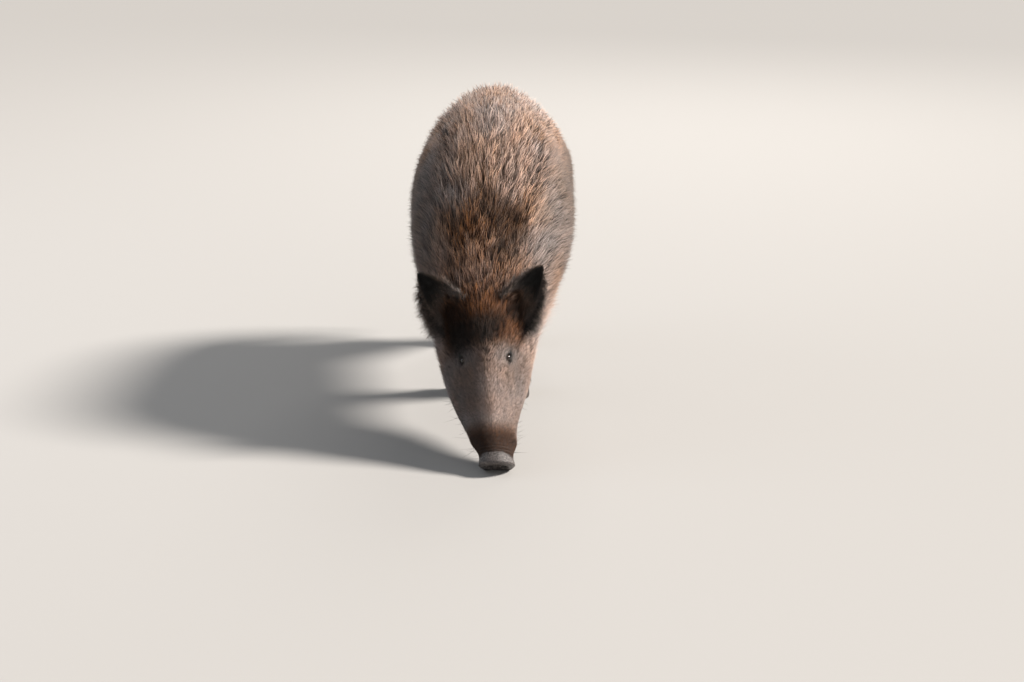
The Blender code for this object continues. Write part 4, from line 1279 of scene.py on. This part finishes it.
def whiskerPiece():
    # long stiff hairs round the snout and chin, and lashes along the upper lids
    choice = np.flatnonzero((length > 0.026) & (length < 0.19) & (np.abs(turn) > 0.9) & onBody)
    choice = chance.choice(choice, whisker["count"], replace=False)
    roots, normals = skinPoints[choice], vertexNormal[choice]
    headings = unit(flow[choice] * 0.5 + normals * 0.4 + np.array([0, 0, -0.15]))
    lengths = chance.uniform(*whisker["length"], len(choice))
    lids = np.flatnonzero(isLid & (slitGapOf(raw) < 1.35) & (slitGapOf(raw) > 1.02))
    upper = []
    for side in (leftSide, rightSide):
        look, slit, across = eyeAxes(side)
        from_ = raw[lids] - eyeBase[side]
        high = from_ @ across
        upper.append(lids[(np.linalg.norm(from_, axis=1) < 0.02) & (high > 0.002)])
    picked = [chance.choice(u_, min(whisker["lashes"], len(u_)), replace=False) for u_ in upper]
    picked = np.concatenate(picked)
    lashHeading = unit(vertexNormal[picked] * 0.9 + np.array([0, -0.25, -0.15]))
    roots = np.concatenate([roots, skinPoints[picked]])
    normals = np.concatenate([normals, vertexNormal[picked]])
    headings = np.concatenate([headings, lashHeading])
    lengths = np.concatenate([lengths, chance.uniform(0.7, 1.0, len(picked)) * whisker["lashLength"]])
    return bristleRods("whiskers", roots - normals * 0.001, normals, headings, lengths, whisker["width"])


whiskers = whiskerPiece()
print("eyes, hooves and whiskers")


# ---- materials ----
def linear(hexColour):
    # an sRGB hex colour as linear red, green and blue
    values = [int(hexColour[i:i + 2], 16) / 255 for i in (1, 3, 5)]
    return tuple(c / 12.92 if c <= 0.04045 else ((c + 0.055) / 1.055) ** 2.4 for c in values) + (1.0,)


def addNode(tree, kind, settings=None, links=None):
    # one node with its settings and links: a socket's value, or the socket that feeds it
    node = tree.nodes.new(kind)
    for key, value in (settings or {}).items():
        setattr(node, key, value)
    for key, value in (links or {}).items():
        socket = node.inputs[key]
        if isinstance(value, bpy.types.NodeSocket):
            tree.links.new(value, socket)
        else:
            socket.default_value = value
    return node


def newMaterial(name):
    made = bpy.data.materials.new(name)
    made.use_nodes = True
    tree = made.node_tree
    tree.nodes.clear()
    return made, tree


def attribute(tree, name):
    return addNode(tree, "ShaderNodeAttribute", {"attribute_name": name}).outputs["Fac"]


def ramp(tree, factor, stops):
    node = addNode(tree, "ShaderNodeValToRGB", links={"Fac": factor})
    elements = node.color_ramp.elements
    while len(elements) < len(stops):
        elements.new(0.5)
    for element, (place, colour) in zip(elements, stops):
        element.position, element.color = place, linear(colour)
    return node.outputs["Color"]


def mixed(tree, factor, first, second, blend="MIX"):
    node = addNode(tree, "ShaderNodeMix", {"data_type": "RGBA", "blend_type": blend}, {0: factor, 6: first, 7: second})
    return node.outputs[2]


# colours of a hair from its root to its tip
hairColours = {
    "grizzled": ((0.0, "#2c231f"), (0.35, "#6f5e54"), (0.7, "#b0968a"), (1.0, "#e6ccba")),
    "dark": ((0.0, "#060505"), (0.40, "#161111"), (0.66, "#5d4638"), (1.0, "#c79f86")),
    "rust": ((0.0, "#0c0603"), (0.35, "#28140a"), (0.72, "#56301a"), (1.0, "#945932")),
    "pale": ((0.0, "#332b28"), (0.45, "#6e5f58"), (1.0, "#a99790")),
    "grey": ((0.0, "#1b1918"), (0.5, "#524a46"), (1.0, "#8b8079")),
    "black": ((0.0, "#030303"), (0.55, "#0c0a09"), (1.0, "#2a211c")),
}


def coatColour(tree, along):
    colour = ramp(tree, along, hairColours["grizzled"])
    for key in ("pale", "dark", "rust", "grey", "black"):
        colour = mixed(tree, attribute(tree, key), colour, ramp(tree, along, hairColours[key]))
    return colour


def blotched(tree, colour, tone, value):
    # blotches of the coat are more golden and stronger in colour, others greyer, pale hairs strongest
    blotch = attribute(tree, "blotch")
    hue = addNode(tree, "ShaderNodeMapRange", links={
        "Value": blotch, "From Min": 0.2, "From Max": 0.8, "To Min": 0.497, "To Max": 0.506})
    strong = addNode(tree, "ShaderNodeMapRange", links={
        "Value": blotch, "From Min": 0.2, "From Max": 0.8, "To Min": 0.60, "To Max": 1.22})
    strong = addNode(tree, "ShaderNodeMath", {"operation": "MULTIPLY_ADD"},
                     {0: tone, 1: 0.12, 2: strong.outputs[0]})
    shade = addNode(tree, "ShaderNodeHueSaturation", links={
        "Hue": hue.outputs[0], "Saturation": strong.outputs[0], "Value": value, "Color": colour})
    return shade.outputs["Color"]


def bristleMaterial():
    # wild boar bristle: stiff keratin hairs, dark at the root and split and pale at the tip,
    # with a soft satin shine along each hair
    made, tree = newMaterial("boar bristle")
    colour = coatColour(tree, attribute(tree, "along"))
    tone = attribute(tree, "tone")
    value = addNode(tree, "ShaderNodeMath", {"operation": "MULTIPLY_ADD"}, {0: tone, 1: 0.27, 2: 1.0})
    colour = blotched(tree, colour, tone, value.outputs[0])
    shader = addNode(tree, "ShaderNodeBsdfPrincipled", links={
        "Base Color": colour, "Roughness": 0.62, "IOR": 1.55,
        "Specular IOR Level": 0.22})
    addNode(tree, "ShaderNodeOutputMaterial", links={"Surface": shader.outputs[0]})
    return made


def skinMaterial():
    # boar skin under the coat with short underfur, and the snout's bare damp leather
    made, tree = newMaterial("boar skin")
    strandAt = addNode(tree, "ShaderNodeAttribute", {"attribute_name": "strand"}).outputs["Vector"]
    fit = addNode(tree, "ShaderNodeMapping", links={"Vector": strandAt, "Scale": (1000.0, 120.0, 1.0)})
    fibre = addNode(tree, "ShaderNodeTexNoise", links={
        "Vector": fit.outputs[0], "Scale": 1.0, "Detail": 3.0, "Roughness": 0.6})
    along = addNode(tree, "ShaderNodeMapRange", links={
        "Value": fibre.outputs["Fac"], "From Min": 0.3, "From Max": 0.75, "To Min": 0.1, "To Max": 0.75})
    colour = coatColour(tree, along.outputs[0])
    colour = blotched(tree, colour, 0.0, 1.0)
    place = addNode(tree, "ShaderNodeTexCoord").outputs["Object"]
    pores = addNode(tree, "ShaderNodeTexVoronoi", {"feature": "F1"}, {"Vector": place, "Scale": 520.0})
    speck = addNode(tree, "ShaderNodeTexNoise", links={"Vector": place, "Scale": 330.0, "Detail": 4.0})
    leather = ramp(tree, speck.outputs["Fac"], ((0.32, "#2b2726"), (0.5, "#544e4c"), (0.70, "#7d7571")))
    # the nostrils' insides near-black: painted shade of their depth
    leather = mixed(tree, attribute(tree, "nostrilShade"), leather, linear("#090605"))
    bare = attribute(tree, "leather")
    colour = mixed(tree, bare, colour, leather)
    height = addNode(tree, "ShaderNodeMix", {"data_type": "FLOAT"}, {
        0: bare, 2: fibre.outputs["Fac"], 3: pores.outputs["Distance"]})
    bump = addNode(tree, "ShaderNodeBump", links={
        "Height": height.outputs[0], "Strength": 0.7, "Distance": 0.0012})
    rough = addNode(tree, "ShaderNodeMapRange", links={"Value": bare, "To Min": 0.75, "To Max": 0.38})
    shader = addNode(tree, "ShaderNodeBsdfPrincipled", links={
        "Base Color": colour, "Roughness": rough.outputs[0], "Normal": bump.outputs[0], "IOR": 1.45})
    addNode(tree, "ShaderNodeOutputMaterial", links={"Surface": shader.outputs[0]})
    return made


skinMesh.materials.clear()
skinMesh.materials.append(skinMaterial())
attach(skin, "root")
flesh = [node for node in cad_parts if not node.startswith(("claw", "dewclaw", "eye"))]
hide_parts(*flesh)
bristle = bristleMaterial()
for piece in coats.values():
    piece.data.materials.append(bristle)
    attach(piece, "root")


def eyeMaterial():
    # a boar's eye: near-black pupil in a dark brown iris under a wet cornea
    made, tree = newMaterial("wet eye")
    gaze = attribute(tree, "gaze")
    scaled = addNode(tree, "ShaderNodeMath", {"operation": "MULTIPLY"}, {0: gaze, 1: 0.5})
    colour = ramp(tree, scaled.outputs[0], (
        (0.0, "#020202"), (0.13, "#030202"), (0.15, "#2c1a0f"), (0.28, "#3a2415"), (0.34, "#0d0807"),
        (0.45, "#2b2320"), (0.8, "#3a302c")))
    shader = addNode(tree, "ShaderNodeBsdfPrincipled", links={
        "Base Color": colour, "Roughness": 0.08, "IOR": 1.38, "Coat Weight": 1.0, "Coat Roughness": 0.02})
    addNode(tree, "ShaderNodeOutputMaterial", links={"Surface": shader.outputs[0]})
    return made


def hornMaterial():
    # hoof horn: hard keratin, dark and ringed by its growth, scuffed paler toward the sole
    made, tree = newMaterial("hoof horn")
    place = addNode(tree, "ShaderNodeTexCoord").outputs["Object"]
    parted = addNode(tree, "ShaderNodeSeparateXYZ", links={0: place})
    worn = addNode(tree, "ShaderNodeTexNoise", links={"Vector": place, "Scale": 90.0, "Detail": 5.0})
    fit = addNode(tree, "ShaderNodeMapping", links={"Vector": place, "Scale": (900.0, 900.0, 60.0)})
    fibre = addNode(tree, "ShaderNodeTexNoise", links={"Vector": fit.outputs[0], "Scale": 1.0, "Detail": 2.0})
    low = addNode(tree, "ShaderNodeMapRange", links={
        "Value": parted.outputs["Z"], "From Min": 0.018, "From Max": 0.0})
    wear = addNode(tree, "ShaderNodeMath", {"operation": "MULTIPLY"}, {0: low.outputs[0], 1: worn.outputs["Fac"]})
    colour = ramp(tree, worn.outputs["Fac"], ((0.3, "#110f0d"), (0.55, "#1e1916"), (0.75, "#302823")))
    colour = mixed(tree, wear.outputs[0], colour, linear("#594a40"))
    bump = addNode(tree, "ShaderNodeBump", links={
        "Height": fibre.outputs["Fac"], "Strength": 0.35, "Distance": 0.0004})
    shader = addNode(tree, "ShaderNodeBsdfPrincipled", links={
        "Base Color": colour, "Roughness": 0.5, "Normal": bump.outputs[0], "IOR": 1.55})
    addNode(tree, "ShaderNodeOutputMaterial", links={"Surface": shader.outputs[0]})
    return made


def whiskerMaterial():
    # whisker: a single smooth keratin hair, black at the root and horn-coloured at the tip
    made, tree = newMaterial("whisker keratin")
    colour = ramp(tree, attribute(tree, "along"), ((0.0, "#0b0908"), (0.6, "#2c221d"), (1.0, "#8d7a6a")))
    shader = addNode(tree, "ShaderNodeBsdfPrincipled", links={
        "Base Color": colour, "Roughness": 0.4, "IOR": 1.55})
    addNode(tree, "ShaderNodeOutputMaterial", links={"Surface": shader.outputs[0]})
    return made


wet, horn = eyeMaterial(), hornMaterial()
for node, piece in eyes.items():
    piece.data.materials.append(wet)
    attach(piece, "root")
    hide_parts(node)
for piece, nodes in hooves.values():
    piece.data.materials.append(horn)
    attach(piece, "root")
    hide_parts(*nodes)
whiskers.data.materials.append(whiskerMaterial())
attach(whiskers, "root")


# ---- view, floor and light ----
view = {
    "target": (0.006, -0.585, 0.0),     # where the snout meets the floor
    "elevation": math.radians(19.8), "distance": 5.0,
    "focal": 2100 / 1024 * 36,
    "place": (494.5 - 512, 469 - 341),
}
aim = Vector(view["target"])
toward = Vector((0, math.cos(view["elevation"]), -math.sin(view["elevation"])))
camera = bpy.data.objects.new("camera", bpy.data.cameras.new("camera"))
bpy.context.scene.collection.objects.link(camera)
camera.data.lens = view["focal"]
camera.data.sensor_width = 36
camera.location = aim - view["distance"] * toward
right, down = view["place"]
pitchDown = view["elevation"] - math.atan(down / 2100)
yaw = math.atan(right / 2100)
camera.rotation_euler = (math.pi / 2 - pitchDown, 0, yaw)
bpy.context.scene.camera = camera
bpy.context.scene.view_settings.view_transform = "Standard"

floor = meshObject("floor", np.array([(-60, -60, 0), (60, -60, 0), (60, 60, 0), (-60, 60, 0)], float),
                   np.array([(0, 1, 2, 3)]))
paint = bpy.data.materials.new("pale floor")
paint.use_nodes = True
paint.node_tree.nodes["Principled BSDF"].inputs["Base Color"].default_value = (0.44, 0.43, 0.415, 1)
paint.node_tree.nodes["Principled BSDF"].inputs["Roughness"].default_value = 0.8
floor.data.materials.append(paint)

# kind, place, power (watts, or watts per square metre for the sun), width (metres, or degrees), colour
lights = {
    "key": ("SUN", (3.6, 0.2, 3.1), 7.0, 13.0, "#fff8f1"),
    "fill": ("AREA", (-3.8, 0.2, 2.4), 32, 3.0, "#e2ebf8"),
    "front": ("AREA", (1.9, -4.6, 2.4), 24, 2.5, "#f8f5f0"),
    "back": ("AREA", (1.1, 4.5, 3.4), 88, 2.5, "#f6f1ec"),
}
for name, (kind, place, power, width, colour) in lights.items():
    lamp = bpy.data.lights.new(name, kind)
    lamp.color = linear(colour)[:3]
    lamp.energy = power
    if kind == "SUN":
        lamp.angle = math.radians(width)
    else:
        lamp.size = width
    shine = bpy.data.objects.new(name, lamp)
    shine.location = place
    shine.rotation_euler = (Vector((0, -0.1, 0.4)) - Vector(place)).to_track_quat("-Z", "Y").to_euler()
    bpy.context.scene.collection.objects.link(shine)
world = bpy.data.worlds.new("studio")
bpy.context.scene.world = world
world.use_nodes = True
world.node_tree.nodes["Background"].inputs["Color"].default_value = (0.85, 0.88, 0.92, 1)
world.node_tree.nodes["Background"].inputs["Strength"].default_value = 0.27
